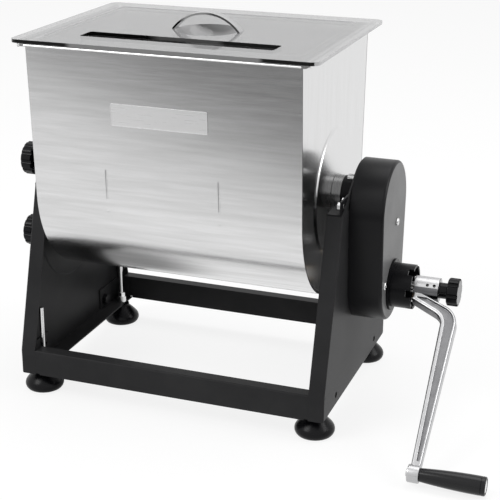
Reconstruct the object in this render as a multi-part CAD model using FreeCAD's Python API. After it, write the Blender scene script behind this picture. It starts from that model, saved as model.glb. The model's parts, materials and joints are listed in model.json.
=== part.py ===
import FreeCAD, Part
import math
import os

V = FreeCAD.Vector

# Frame: origin on the table at the middle of the stand, +X to the crank, -Y to the front, +Z up.

# Clearances
running_gap = 0.05        # radial gap of a shaft in its bush
seat_gap = 0.05           # gap of parts that are bolted, welded or pushed together
face_gap = 0.3            # end gap between parts that turn past each other
pad_gap = 0.3             # gap between the lock pad and the tank

# Gears and shafts
crank_axis_z = 154.0      # height of the crank above the table
gear_module = 2.0
pinion_teeth = 18
idler_teeth = 26
wheel_teeth = 38
gear_width = 12.0
tooth_thinning = 0.14     # taken off each tooth at the pitch line, which leaves backlash
root_clearance = 0.25     # share of the module left under a tooth tip
pressure_angle = 20.0
tooth_up = 90.0           # direction of a tooth that points straight up, from +Y to +Z
tooth_down = -90.0
drive_radius = 8.0
crank_shaft_radius = 7.0
idler_stud_radius = 6.0
pull_pin_radius = 6.0
key_side = 5.0
clip_thickness = 1.2
clip_groove_depth = 0.8
clip_reach = 3.5          # clip outside the shaft
clip_mouth = 0.8          # half width of the clip's mouth, as a share of its bore's radius
clip_hold = 0.4           # how far below the shaft's axis the clip holds it, as the same share
shaft_collar_reach = 4.0  # collar that stands off the gear from the web
idler_bush_wall = 2.0
idler_axis_z = crank_axis_z + gear_module * (pinion_teeth + idler_teeth) / 2
shaft_axis_z = idler_axis_z + gear_module * (idler_teeth + wheel_teeth) / 2

# Tank
tank_length = 330.0
left_end_room = 24.5      # from the tank's left end plate to the left side plate
right_end_room = 32.5     # from the tank's right end plate to the right side plate
sheet = 1.5
trough_radius = 123.5     # outside, about the shaft axis
rim_z = 440.0
rim_half_depth = 132.0
hem_height = 3.5
hem_depth = 5.0           # front and rear hem
end_lip = 10.0            # lip of each end plate
lip_corner = 6.0
disc_radius = 79.0        # raised round disc of each end plate
disc_rise = 2.0
hub_tube_radius = 20.5
hub_tube_length_left = 7.5
hub_tube_length_right = 11.5
journal_radius = 15.0
journal_end_room = 3.0    # from the journal's end to the outside of the side plate
hub_bush_wall = 2.2
seal_radius = 24.0
seal_thickness = 4.0
plate_length = 117.5      # nameplate
plate_height = 26.0
plate_thickness = 0.8
plate_offset_x = -3.2     # from the middle of the tank
plate_centre_z = 365.0
level_rib_offset_x = (-72.3, 67.0)
level_rib_z = (262.0, 298.0)
level_rib_width = 1.6
level_rib_rise = 0.5
level_dot_z = 247.0
level_dot_radius = 1.4

# Lid
lid_overhang_x = 8.5      # past the lip of each end plate
lid_overhang_y = 0.5      # past the front and rear hem
lid_sheet = 4.0
lid_corner = 10.0
lid_border = 24.0
lid_step = 6.0            # how far the middle lies below the border
pan_corner = 10.0
slot_length = 232.0
slot_width = 25.0
slot_corner = 3.0
slot_offset_x = 3.0       # from the middle of the tank
slot_centre_y = -79.0
dish_radius = 38.5
dish_depth = 14.0
dish_offset_x = 5.0
handle_width = 20.0
handle_height = 24.0      # arch top above the sunk middle of the lid
handle_sheet = 3.0
handle_foot = 4.8         # length of each foot of the arch

# Stand
plate_sheet = 2.0
flange_width = 19.0
foot_flange_width = 24.0
stand_bottom_z = 26.5
base_half_depth = 137.0
base_edge_z = 57.0
neck_half_depth = 80.0
neck_drop = 4.0           # top of the flanges below the shaft axis
cover_top_radius = 56.0
cover_top_drop = 12.0     # centre of the cover's upper round below the shaft axis
cover_bottom_radius = 51.0
cover_bottom_rise = 8.0   # centre of the cover's lower round above the crank axis
web_top_radius = 53.5
pressed_disc_radius = 80.0
pressed_disc_drop = 71.0  # centre of the left plate's pressed disc below the shaft axis
pressed_disc_y = 4.0
pressed_disc_rise = 0.8
front_bar_height = 32.0
rear_bar_height = 37.5
bar_lip = 16.0
tab_length = 60.0
bar_bolt_inset = 50.0     # from the front or rear edge of the stand
bar_bolt_rise = 13.5      # above the underside of the stand
m8_radius = 4.0
m8_head = 13.0            # across flats
m8_head_height = 5.3
washer_thickness = 1.6

# Feet
foot_inset_x = 17.5       # from the outside of the side plate
foot_inset_y = 24.0       # from the front or rear edge of the stand
foot_radius = 24.0
foot_widest_z = 7.0
foot_sole_radius = 21.0
foot_bell_z = 12.5        # where the bell starts to slope in
foot_bell_radius = 21.5
foot_slope_radius = 12.2  # where the slope ends
foot_slope_drop = 4.6     # below the top of the foot
foot_round_radius = 11.2  # on the hollow round between the slope and the neck
foot_round_drop = 3.4
foot_neck_radius = 10.7
foot_neck_height = 2.0
foot_socket = 14.0        # depth of the stud in the rubber
m6_radius = 3.0
m6_flats = 10.0
m6_nut_height = 5.0
foot_stud_height = 80.5   # above the underside of the stand
weld_nut_radius = 6.5
weld_nut_height = 9.0

# Bearings
housing_radius = 21.0
housing_spigot_radius = 19.0
tilt_bush_wall = 2.2
ring_nut_radius = 25.0
ring_nut_height = 4.0
ring_nut_notch = 5.0
ring_nut_notch_depth = 3.0
pin_boss_radius = 14.0
pin_boss_length = 37.0
pin_boss_step = 4.0       # end wall of the boss's wide part
lock_reach = 98.0         # lock screw below the shaft axis
lock_boss_radius = 13.0
lock_boss_length = 30.0
lock_neck_wall = 5.0      # neck of the lock boss round its stud, through the web

# Gear case
cover_depth = 41.0
cover_sheet = 2.0
cover_edge = 3.0
cover_hole_gap = 1.0      # between the crank bush and the edge of its hole in the cover
gear_room = 7.5           # from the web to the gears
bridge_room = 25.5        # from the web to the bridge plate
bridge_sheet = 3.0
bridge_inset = 7.0
pillar_radius = 5.0
low_pillar_y = 40.0
low_pillar_rise = 12.0    # above the crank axis
high_pillar_y = 41.0
high_pillar_drop = 44.0   # below the shaft axis
face_screw_y = 9.0
face_screw_drop = 32.0    # below the shaft axis
bridge_nut_height = 3.0
m5_radius = 2.5
m5_flats = 8.0
m5_head_radius = 4.6
m5_head_height = 2.6
m5_socket_flats = 2.6
m5_socket_depth = 1.4
cover_screw_reach = 6.0   # thread inside the spacer
collar_radius = 26.7
collar_wall = 3.2
collar_length = 28.0
collar_flange_radius = 31.0
collar_flange = 3.0
collar_notch_depth = 6.0
collar_notch_width = 9.0
collar_notches = 6
bush_wall = 3.0
bush_flange = 1.5
bush_flange_reach = 2.5
web_bush_reach = 4.0      # crank bush past the outside of the web
drive_bush_reach = 2.0    # drive bush past the bridge plate

# Stop parts on the right side plate
stop_bracket_y = (-80.0, -42.0)
stop_bracket_height = 18.0
stop_bolt_rise = 9.5      # above the foot of the bracket
stop_bolt_y = (-70.0, -52.0)
stop_bolt_head = 3.5      # height
stop_washer_radius = 5.0
stop_stud_y = -27.0
stop_stud_rise = 28.0     # above the shaft axis
stop_stud_radius = 4.0
stop_stud_length = 8.0

# Crank
crank_lean = 53.5         # degrees from straight down towards the front
crank_radius = 236.0
hub_radius = 14.5
hub_gap = 0.5             # between the collar's rim and the hub
hub_length = 29.7
hub_cap = 2.5             # closed outer end of the hub
hub_pin_radius = 1.5
hub_pin_offsets = (16.6, 24.7)
hub_pin_angle = 52.0      # from straight up towards the front
hub_pin_sink = 3.0        # end of a pin below the surface of the hub
hub_pin_start = 5.0       # inner end of a pin, clear of the star knob's stud
hub_notch_width = 4.4
hub_notch_depth = 11.5
hub_notch_bite = 3.0
hub_notch_angle = 108.0   # from straight up towards the front
arm_rise_x = 26.6         # arm's outer face past the hub's end, at the bend
arm_outer_lean = 2.6      # arm's outer face comes back this far at its end
arm_thickness_root = 18.5
arm_thickness_tip = 10.7
arm_bend = 40.0           # distance from the crank axis of the inner side's bend
arm_outer_bend = 31.6     # the same for the outer side
arm_inner_round = 17.0    # radius of the inner side's bend
arm_outer_round = 25.0
arm_root_inset = 0.5      # root of the arm from the hub's inner end
arm_root_length = 18.4    # root of the arm along the hub
arm_root_depth = 6.2      # root of the arm off the hub, at the hub's inner end
arm_root_sink = 4.0       # root of the arm inside the hub
arm_tip_sink = 4.0        # from the end of the arm to the grip's axis
arm_width_root = 16.0
arm_width_tip = 12.0
arm_groove_depth = 3.0
arm_groove_start = 3.0    # groove's root from the hub
arm_groove_end = 3.0      # groove's tip from the boss
arm_groove_inset = 6.0    # groove's root from the arm's inner end
arm_groove_round = 1.4    # radius of the groove's tip
arm_inner_rim = 5.0       # edge left beside each groove on the inner side
arm_outer_rim = 3.0
arm_cut_room = 5.0        # how far a cutting wedge reaches past the arm
arm_boss_radius = 10.0
arm_boss_length = 13.4
arm_boss_rise = 0.3       # boss past the arm's outer face
axle_radius = 4.0
grip_length = 74.0
grip_root_radius = 7.3
grip_tip_radius = 10.6
grip_belly = 1.1          # how much the middle is fuller than a cone
grip_root_edge = 0.8
grip_end_round = 1.4
grip_recess_radius = 8.4  # round recess of the end, with the cap in it
grip_recess = 2.4
grip_cap_radius = 7.9
grip_cap_height = 1.8
knob_stud_radius = 4.0
star_stud_reach = 20.0    # thread in the crank shaft
star_neck_radius = 9.5
star_neck_length = 9.6
star_radius = 16.6
star_length = 13.4
star_lobes = 7
star_lobe_depth = 2.8
star_valley_share = 0.42  # radius of a valley as a share of the lobe spacing
star_edge = 1.6
knob_wall = 4.0           # closed outer end of each knob

# Left knobs
pull_knob_radius = 21.0
pull_knob_length = 14.0
pull_knob_gap = 2.5       # between the boss and the knob
lock_knob_radius = 20.0
lock_knob_length = 12.0
lock_knob_gap = 14.5      # open thread between the lock boss and its knob
knob_edge = 1.5
knob_flutes = 12
knob_flute_radius = 3.0
knob_flute_out = 1.2      # centre of a flute outside the rim
lock_stud_radius = 5.0
lock_pad_radius = 10.0
lock_pad_thickness = 6.0
pull_pin_reach = 20.0     # length of pull pin inside the paddle shaft

# Paddle
paddle_shaft_radius = 11.0
paddle_left_room = 8.0    # from the outside of the left end plate
tang_room = 13.0          # shoulder of the drive shaft from the outside of the right end plate
tang_side = 10.0
tang_length = 16.0
paddle_arm_radius = 4.0
paddle_reach = 108.0      # outer corner of a blade from the shaft axis
blade_length = 50.0
blade_width = 24.0
blade_sheet = 3.0
blade_corner = 5.0
blade_tip_room = 3.0      # the corners of a blade reach this much further than its middle
blade_angle = 30.0
paddle_arms = 6
paddle_end_room = 40.0    # from an end of the tank to the nearest arm
paddle_first_turn = 45.0
paddle_arm_turn = 90.0    # turn from one arm to the next

# Places that follow from the sizes
web_inner = (tank_length + left_end_room + right_end_room) / 2
web_outer = web_inner + plate_sheet
tank_left = -web_inner + left_end_room
tank_right = web_inner - right_end_room
tank_centre_x = (tank_left + tank_right) / 2
hem_bottom_z = rim_z - hem_height
flare_reach = math.hypot(rim_half_depth, rim_z - shaft_axis_z)
tangent_angle = math.atan2(rim_z - shaft_axis_z, rim_half_depth) - math.acos(trough_radius / flare_reach)
lid_top_z = rim_z + lid_sheet
lid_x0 = tank_left - end_lip - lid_overhang_x
lid_x1 = tank_right + end_lip + lid_overhang_x
lid_half_depth = rim_half_depth + hem_depth + lid_overhang_y
lid_floor_z = lid_top_z - lid_step
hub_left_end = tank_left - disc_rise - hub_tube_length_left
hub_right_end = tank_right + disc_rise + hub_tube_length_right
journal_end = web_outer - journal_end_room
hub_bore_radius = drive_radius + running_gap + hub_bush_wall
neck_z = shaft_axis_z - neck_drop
cover_top_z = shaft_axis_z - cover_top_drop
cover_bottom_z = crank_axis_z + cover_bottom_rise
cover_outer_x = web_outer + cover_depth
gear_start_x = web_outer + gear_room
gear_end_x = gear_start_x + gear_width
bridge_start_x = web_outer + bridge_room
bridge_end_x = bridge_start_x + bridge_sheet
low_pillar_z = crank_axis_z + low_pillar_rise
high_pillar_z = shaft_axis_z - high_pillar_drop
pillar_places = ((-low_pillar_y, low_pillar_z), (low_pillar_y, low_pillar_z),
                 (-high_pillar_y, high_pillar_z), (high_pillar_y, high_pillar_z))
cover_screw_places = (pillar_places[0], (face_screw_y, shaft_axis_z - face_screw_drop))
foot_x = web_outer - foot_inset_x
foot_y = base_half_depth - foot_inset_y
bar_bolt_y = base_half_depth - bar_bolt_inset
bar_bolt_z = stand_bottom_z + bar_bolt_rise
lock_axis_z = shaft_axis_z - lock_reach
lock_neck_radius = lock_stud_radius + lock_neck_wall
stop_bracket_z = neck_z
slant_lean = math.atan2(base_half_depth - neck_half_depth, neck_z - base_edge_z)
flange_bend_z = base_edge_z - plate_sheet * math.tan(slant_lean / 2)
crank_bush_radius = crank_shaft_radius + running_gap + bush_wall
drive_bush_radius = drive_radius + running_gap + bush_wall
stop_bolt_z = stop_bracket_z + stop_bolt_rise
stop_stud_place = (stop_stud_y, shaft_axis_z + stop_stud_rise)
hub_start_x = cover_outer_x + collar_length + hub_gap
hub_end_x = hub_start_x + hub_length
arm_outer_x = hub_end_x + arm_rise_x
arm_tip_x = arm_outer_x - arm_outer_lean
boss_end_x = arm_tip_x + arm_boss_rise
grip_start_x = boss_end_x + face_gap
grip_end_x = grip_start_x + grip_length
cap_start_x = grip_end_x - grip_recess + face_gap
axle_end_x = cap_start_x + grip_cap_height / 2
star_start_x = hub_end_x + face_gap
pull_knob_face = -web_outer - pin_boss_length - pull_knob_gap
lock_knob_face = -web_outer - lock_boss_length - lock_knob_gap
paddle_left = tank_left + paddle_left_room
tang_face_x = tank_right - tang_room
crank_direction = V(0, -math.sin(math.radians(crank_lean)), -math.cos(math.radians(crank_lean)))
crank_sideways = V(0, math.cos(math.radians(crank_lean)), -math.sin(math.radians(crank_lean)))


def block(x0, x1, y0, y1, z0, z1):
    return Part.makeBox(x1 - x0, y1 - y0, z1 - z0, V(x0, y0, z0))


def rod_x(radius, x0, x1, y, z):
    return Part.makeCylinder(radius, x1 - x0, V(x0, y, z), V(1, 0, 0))


def rod_z(radius, z0, z1, x, y):
    return Part.makeCylinder(radius, z1 - z0, V(x, y, z0), V(0, 0, 1))


def ring_x(outer, inner, x0, x1, y, z):
    return rod_x(outer, x0, x1, y, z).cut(rod_x(inner, x0 - 1, x1 + 1, y, z))


def hexagon_x(flats, x0, x1, y, z):
    corner = flats / math.sqrt(3)
    points = []
    for i in range(7):
        turn = math.radians(60 * i + 30)
        points.append(V(x0, y + corner * math.cos(turn), z + corner * math.sin(turn)))
    return Part.Face(Part.makePolygon(points)).extrude(V(x1 - x0, 0, 0))


def hexagon_z(flats, z0, z1, x, y):
    corner = flats / math.sqrt(3)
    points = []
    for i in range(7):
        turn = math.radians(60 * i)
        points.append(V(x + corner * math.cos(turn), y + corner * math.sin(turn), z0))
    return Part.Face(Part.makePolygon(points)).extrude(V(0, 0, z1 - z0))


def corner_round(before, here, after, radius):
    """Start, middle and end of a round of a radius in the corner at here."""
    back, on = (before - here).normalize(), (after - here).normalize()
    half = back.getAngle(on) / 2
    inwards = (back + on).normalize()
    reach = radius / math.tan(half)
    middle = here + inwards * (radius / math.sin(half) - radius)
    return here + back * reach, middle, here + on * reach


def rounded_face(points, radii):
    """Face of a closed polygon whose corners have a radius each, 0 for a sharp one."""
    edges = []
    rounds = []
    for i, (here, radius) in enumerate(zip(points, radii)):
        before, after = points[i - 1], points[(i + 1) % len(points)]
        rounds.append(corner_round(before, here, after, radius) if radius else (here, here, here))
    for i, (start, middle, end) in enumerate(rounds):
        edges.append(Part.makeLine(rounds[i - 1][2], start))
        if radii[i]:
            edges.append(Part.Arc(start, middle, end).toShape())
    return Part.Face(Part.Wire(edges))


def moved_in(points, distances):
    """Corners of a flat polygon, drawn against the clock, with each side moved inwards."""
    sides = []
    for i, distance in enumerate(distances):
        (x0, y0), (x1, y1) = points[i], points[(i + 1) % len(points)]
        length = math.hypot(x1 - x0, y1 - y0)
        dx, dy = (x1 - x0) / length, (y1 - y0) / length
        sides.append((x0 - dy * distance, y0 + dx * distance, dx, dy))
    corners = []
    for i, (x1, y1, dx1, dy1) in enumerate(sides):
        x0, y0, dx0, dy0 = sides[i - 1]
        along = ((x1 - x0) * dy1 - (y1 - y0) * dx1) / (dx0 * dy1 - dy0 * dx1)
        corners.append((x0 + dx0 * along, y0 + dy0 * along))
    return corners


def polygon_solid(points, sweep):
    return Part.Face(Part.makePolygon(points + [points[0]])).extrude(sweep)


def rounded_slab(x0, x1, y0, y1, z0, z1, radius):
    slab = block(x0, x1, y0, y1, z0, z1)
    upright = [e for e in slab.Edges if abs(e.Vertexes[0].Z - e.Vertexes[1].Z) > (z1 - z0) / 2]
    return slab.makeFillet(radius, upright)


def mirrored_x(shape):
    return shape.mirror(V(0, 0, 0), V(1, 0, 0))


def save(node, *solids):
    shape = solids[0] if len(solids) == 1 else Part.makeCompound(list(solids))
    for solid in shape.Solids:
        if not solid.isValid():
            raise ValueError("bad solid in " + node)
    print("%-20s %2d solids %12.1f mm3" % (node, len(shape.Solids), shape.Volume))
    shape.exportStep("parts/" + node + ".step")


# Tank

def on_circle(radius, turn):
    return V(0, radius * math.cos(turn), shaft_axis_z + radius * math.sin(turn))


def trough_outline(inset, top_z):
    """Wire of the U section, tangent walls on a half round, moved inwards by inset."""
    radius = trough_radius - inset
    turn = tangent_angle
    joint = on_circle(radius, turn)
    slope = V(0, -math.sin(turn), math.cos(turn))
    top = joint + slope * ((top_z - joint.z) / slope.z)
    left_joint = V(0, -joint.y, joint.z)
    left_top = V(0, -top.y, top.z)
    low = V(0, 0, shaft_axis_z - radius)
    return [left_top, left_joint, low, joint, top]


def section_face(outer, inner):
    """Face between an outer U line and an inner one, open at the top."""
    edges = [Part.makeLine(outer[0], outer[1]),
             Part.Arc(outer[1], outer[2], outer[3]).toShape(),
             Part.makeLine(outer[3], outer[4])]
    if inner:
        edges += [Part.makeLine(outer[4], inner[4]),
                  Part.makeLine(inner[4], inner[3]),
                  Part.Arc(inner[3], inner[2], inner[1]).toShape(),
                  Part.makeLine(inner[1], inner[0]),
                  Part.makeLine(inner[0], outer[0])]
    else:
        edges.append(Part.makeLine(outer[4], outer[0]))
    return Part.Face(Part.Wire(edges))


def wall_y(z):
    """Half depth of the outside of the front and rear wall at height z."""
    joint = on_circle(trough_radius, tangent_angle)
    return joint.y + (z - joint.z) * math.tan(-tangent_angle)


def on_front_wall(shape, z):
    """Lays a shape made on the plane y = 0, outwards to -Y, on the front wall at height z."""
    laid = shape.copy()
    laid.rotate(V(0, 0, 0), V(1, 0, 0), math.degrees(-tangent_angle))
    laid.translate(V(0, -wall_y(z), z))
    return laid


def tank_trough():
    outer = trough_outline(0, rim_z)
    inner = trough_outline(sheet, rim_z)
    trough = section_face(outer, inner).extrude(V(tank_length, 0, 0))
    trough.translate(V(tank_left, 0, 0))
    edge = rim_half_depth + hem_depth
    for side in (-1, 1):
        near = wall_y(hem_bottom_z) - sheet / 2
        y0, y1 = sorted((side * near, side * edge))
        trough = trough.fuse(block(tank_left, tank_right, y0, y1, hem_bottom_z, rim_z))
    middle_z = sum(level_rib_z) / 2
    half = (level_rib_z[1] - level_rib_z[0]) / 2
    for offset in level_rib_offset_x:
        x = tank_centre_x + offset
        half_width = level_rib_width / 2
        rib = block(x - half_width, x + half_width, -level_rib_rise, sheet / 2, -half, half)
        trough = trough.fuse(on_front_wall(rib, middle_z))
        length = level_rib_rise + sheet / 2
        dot = Part.makeCylinder(level_dot_radius, length, V(x, sheet / 2, 0), V(0, -1, 0))
        below = shaft_axis_z - level_dot_z
        lean = math.asin(below / trough_radius)
        dot.rotate(V(0, 0, 0), V(1, 0, 0), math.degrees(lean))
        dot.translate(V(0, -trough_radius * math.cos(lean), level_dot_z))
        trough = trough.fuse(dot)
    return trough.removeSplitter()


def end_plate(side):
    """side is 1 on the crank side: outside face, raised disc and lip point that way."""
    outside = tank_right if side > 0 else tank_left
    line = trough_outline(sheet + seat_gap, rim_z)
    plate = section_face(line, None).extrude(V(side * sheet, 0, 0))
    plate.translate(V(outside - side * sheet, 0, 0))
    rise = sorted((outside - side * sheet / 2, outside + side * disc_rise))
    plate = plate.fuse(rod_x(disc_radius, rise[0], rise[1], 0, shaft_axis_z))
    pocket = sorted((outside - side * (sheet + 1), outside + side * (disc_rise - sheet)))
    plate = plate.cut(rod_x(disc_radius - sheet, pocket[0], pocket[1], 0, shaft_axis_z))
    reach = sorted((outside - side * sheet / 2, outside + side * end_lip))
    inner_half = -line[0].y
    lip = block(reach[0], reach[1], -inner_half, inner_half, hem_bottom_z, rim_z)
    edge = rim_half_depth + hem_depth
    wide = sorted((outside, outside + side * end_lip))
    flange = block(wide[0], wide[1], -edge, edge, hem_bottom_z, rim_z)
    corners = [e for e in flange.Edges
               if abs(e.Vertexes[0].Z - e.Vertexes[1].Z) > 1
               and abs(e.Vertexes[0].X - (outside + side * end_lip)) < 0.01]
    plate = plate.fuse(lip).fuse(flange.makeFillet(lip_corner, corners))
    hole = sorted((outside - 10, outside + 10))
    plate = plate.cut(rod_x(journal_radius + seat_gap, hole[0], hole[1], 0, shaft_axis_z))
    return plate.removeSplitter()


def hub(side):
    """Tube, journal and inner spigot that carry the tank."""
    if side > 0:
        face, shoulder, end = tank_right + disc_rise, hub_right_end, journal_end
    else:
        face, shoulder, end = tank_left - disc_rise, hub_left_end, -journal_end
    inside = face - side * (disc_rise + seal_thickness)
    body = rod_x(hub_tube_radius, min(face, shoulder), max(face, shoulder), 0, shaft_axis_z)
    journal = rod_x(journal_radius, min(inside, end), max(inside, end), 0, shaft_axis_z)
    low, high = min(inside, end) - 1, max(inside, end) + 1
    return body.fuse(journal).cut(rod_x(hub_bore_radius, low, high, 0, shaft_axis_z)).removeSplitter()


def hub_bush(side):
    inner = (drive_radius if side > 0 else pull_pin_radius) + running_gap
    if side > 0:
        low, high = tank_right - seal_thickness + disc_rise, journal_end
    else:
        low, high = -journal_end, tank_left + seal_thickness - disc_rise
    return ring_x(hub_bore_radius - seat_gap, inner, low, high, 0, shaft_axis_z)


def hub_seal(side):
    """Rubber ring on the inside of the end plate, round the hub's spigot."""
    floor = tank_right + disc_rise - sheet if side > 0 else tank_left - disc_rise + sheet
    low, high = sorted((floor, floor - side * seal_thickness))
    return ring_x(seal_radius, journal_radius + seat_gap, low, high, 0, shaft_axis_z)


def nameplate():
    middle = tank_centre_x + plate_offset_x
    plate = block(middle - plate_length / 2, middle + plate_length / 2,
                  -plate_thickness, 0, -plate_height / 2, plate_height / 2)
    return on_front_wall(plate, plate_centre_z)


# Lid

def lid_panel():
    half = lid_half_depth
    slab = rounded_slab(lid_x0, lid_x1, -half, half, rim_z, lid_top_z, lid_corner)
    px0, px1, py = lid_x0 + lid_border, lid_x1 - lid_border, half - lid_border
    floor_bottom = lid_floor_z - lid_sheet
    pan = rounded_slab(px0, px1, -py, py, floor_bottom, lid_top_z, pan_corner)
    hollow = rounded_slab(px0 + lid_sheet, px1 - lid_sheet, -py + lid_sheet, py - lid_sheet,
                          lid_floor_z, lid_top_z + 1, pan_corner - lid_sheet)
    lid = slab.fuse(pan).cut(hollow)
    dish_ball = (dish_radius ** 2 + dish_depth ** 2) / (2 * dish_depth)
    dish_centre_x = tank_centre_x + dish_offset_x
    centre = V(dish_centre_x, 0, lid_floor_z + dish_ball - dish_depth)
    bowl = Part.makeSphere(dish_ball + lid_sheet, centre)
    keep = rod_z(dish_ball + lid_sheet, lid_floor_z - dish_depth - 2 * lid_sheet, floor_bottom,
                 dish_centre_x, 0)
    lid = lid.fuse(bowl.common(keep))
    scoop = Part.makeSphere(dish_ball, centre)
    lid = lid.cut(scoop.common(rod_z(dish_radius + 5, lid_floor_z - dish_depth - 1, lid_floor_z + 0.5,
                                     dish_centre_x, 0)))
    slot_centre_x = tank_centre_x + slot_offset_x
    x0, x1 = slot_centre_x - slot_length / 2, slot_centre_x + slot_length / 2
    y0, y1 = slot_centre_y - slot_width / 2, slot_centre_y + slot_width / 2
    lid = lid.cut(rounded_slab(x0, x1, y0, y1, floor_bottom - 5, lid_top_z + 5, slot_corner))
    return lid.removeSplitter()


def lid_handle():
    """Arched strip across the round dish, its feet on the sunk floor just outside the dish."""
    foot = handle_foot
    span = dish_radius + foot
    bottom = lid_floor_z
    top = lid_floor_z + handle_height
    outer = Part.Arc(V(-span, 0, bottom), V(0, 0, top), V(span, 0, bottom)).toShape()
    inner = Part.Arc(V(span - foot, 0, bottom), V(0, 0, top - handle_sheet),
                     V(-span + foot, 0, bottom)).toShape()
    right = Part.makeLine(V(span, 0, bottom), V(span - foot, 0, bottom))
    left = Part.makeLine(V(-span + foot, 0, bottom), V(-span, 0, bottom))
    strip = Part.Face(Part.Wire([outer, right, inner, left])).extrude(V(0, handle_width, 0))
    strip.translate(V(tank_centre_x + dish_offset_x, -handle_width / 2, 0))
    return strip


# Stand

def web_outline(x):
    """Face of a side plate's web: upright and slanted edges, with a round top tangent to them."""
    bottom, edge, neck = stand_bottom_z, base_half_depth, neck_half_depth
    gap_y, gap_z = neck, neck_z - cover_top_z
    reach = math.hypot(gap_y, gap_z)
    turn = math.atan2(gap_z, gap_y) + math.acos(web_top_radius / reach)
    touch_y = web_top_radius * math.cos(turn)
    touch_z = cover_top_z + web_top_radius * math.sin(turn)
    right = V(x, touch_y, touch_z)
    left = V(x, -touch_y, touch_z)
    top = V(x, 0, cover_top_z + web_top_radius)
    points = [left, V(x, -neck, neck_z), V(x, -edge, base_edge_z), V(x, -edge, bottom),
              V(x, edge, bottom), V(x, edge, base_edge_z), V(x, neck, neck_z), right]
    edges = [Part.makeLine(a, b) for a, b in zip(points[:-1], points[1:])]
    edges.append(Part.Arc(right, top, left).toShape())
    return Part.Face(Part.Wire(edges))


def slanted_flange(side_y):
    """Front or rear flange of the right side plate, following the vertical and the slanted edge."""
    x0, x1 = web_outer - flange_width, web_inner + plate_sheet / 2
    shift = plate_sheet / math.cos(slant_lean)
    points = [V(x0, side_y * base_half_depth, stand_bottom_z),
              V(x0, side_y * base_half_depth, base_edge_z),
              V(x0, side_y * neck_half_depth, neck_z),
              V(x0, side_y * (neck_half_depth - shift), neck_z),
              V(x0, side_y * (base_half_depth - plate_sheet), flange_bend_z),
              V(x0, side_y * (base_half_depth - plate_sheet), stand_bottom_z)]
    return polygon_solid(points, V(x1 - x0, 0, 0))


def side_plate_blank():
    """Right side plate without holes; the left one is its mirror image."""
    web = web_outline(web_inner).extrude(V(plate_sheet, 0, 0))
    plate = web.fuse(slanted_flange(-1)).fuse(slanted_flange(1))
    foot_flange = block(web_outer - foot_flange_width, web_inner + plate_sheet / 2,
                        -base_half_depth + plate_sheet / 2, base_half_depth - plate_sheet / 2,
                        stand_bottom_z, stand_bottom_z + plate_sheet)
    plate = plate.fuse(foot_flange)
    for y in (-foot_y, foot_y):
        plate = plate.cut(rod_z(m6_radius + seat_gap, stand_bottom_z - 1, stand_bottom_z + 5, foot_x, y))
    for y in (-bar_bolt_y, bar_bolt_y):
        plate = plate.cut(rod_x(m8_radius + seat_gap, web_inner - 1, web_outer + 1, y, bar_bolt_z))
    spigot = housing_spigot_radius + seat_gap
    return plate.cut(rod_x(spigot, web_inner - 1, web_outer + 1, 0, shaft_axis_z))


def right_plate():
    plate = side_plate_blank()
    holes = [(crank_bush_radius + seat_gap, 0, crank_axis_z),
             (idler_stud_radius + seat_gap, 0, idler_axis_z),
             (stop_stud_radius + seat_gap, stop_stud_place[0], stop_stud_place[1])]
    holes += [(m5_radius + seat_gap, y, z) for y, z in pillar_places]
    for radius, y, z in holes:
        plate = plate.cut(rod_x(radius, web_inner - 1, web_outer + 1, y, z))
    return plate.removeSplitter()


def left_plate():
    plate = mirrored_x(side_plate_blank())
    disc = rod_x(pressed_disc_radius, -web_inner - plate_sheet / 2, -web_inner + pressed_disc_rise,
                 pressed_disc_y, shaft_axis_z - pressed_disc_drop)
    disc = disc.cut(rod_x(housing_radius + face_gap, -web_inner, -web_inner + 2, 0, shaft_axis_z))
    plate = plate.fuse(disc)
    spigot = housing_spigot_radius + seat_gap
    plate = plate.cut(rod_x(spigot, -web_outer - 1, -web_inner + 2, 0, shaft_axis_z))
    neck = lock_neck_radius + seat_gap
    plate = plate.cut(rod_x(neck, -web_outer - 1, -web_inner + 2, 0, lock_axis_z))
    return plate.removeSplitter()


def cross_bar(side_y, height):
    """Bar in line with the flanges, its ends stepped in behind them, with a tab along each web."""
    outside = base_half_depth
    behind = outside - plate_sheet - seat_gap
    above_foot = stand_bottom_z + plate_sheet + seat_gap
    high = stand_bottom_z + height
    end_top = flange_bend_z - seat_gap
    foot_free = web_outer - foot_flange_width - seat_gap
    face_end = web_outer - flange_width - seat_gap
    half = web_inner - seat_gap

    def wall(x0, x1, outer, inner, z0, z1):
        y0, y1 = sorted((side_y * outer, side_y * inner))
        return block(min(x0, x1), max(x0, x1), y0, y1, z0, z1)

    bar = wall(-foot_free, foot_free, outside, outside - plate_sheet, stand_bottom_z, high)
    bar = bar.fuse(wall(-face_end, face_end, outside, outside - plate_sheet, above_foot, high))
    bar = bar.fuse(wall(-face_end, face_end, outside, outside - bar_lip, high - plate_sheet, high))
    for side in (-1, 1):
        step_x, end_x = side * (face_end - plate_sheet), side * half
        bar = bar.fuse(wall(step_x, side * face_end, outside, behind - plate_sheet, above_foot, end_top))
        bar = bar.fuse(wall(step_x, end_x, behind, behind - plate_sheet, above_foot, end_top))
        tab_x = side * (half - plate_sheet)
        bar = bar.fuse(wall(tab_x, end_x, behind, behind - tab_length, above_foot, end_top))
        x0, x1 = sorted((tab_x - side, end_x + side))
        bar = bar.cut(rod_x(m8_radius + seat_gap, x0, x1, side_y * bar_bolt_y, bar_bolt_z))
    return bar.removeSplitter()


def bar_bolts():
    """Hexagon bolts through each tab into the web, ends flush with the outside."""
    bolts = []
    tab_face = web_inner - seat_gap - plate_sheet
    for y in (-bar_bolt_y, bar_bolt_y):
        head = hexagon_x(m8_head, tab_face - m8_head_height, tab_face, y, bar_bolt_z)
        bolt = head.fuse(rod_x(m8_radius, tab_face - 1, web_outer, y, bar_bolt_z)).removeSplitter()
        bolts += [bolt, mirrored_x(bolt)]
    return bolts


# Feet

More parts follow.
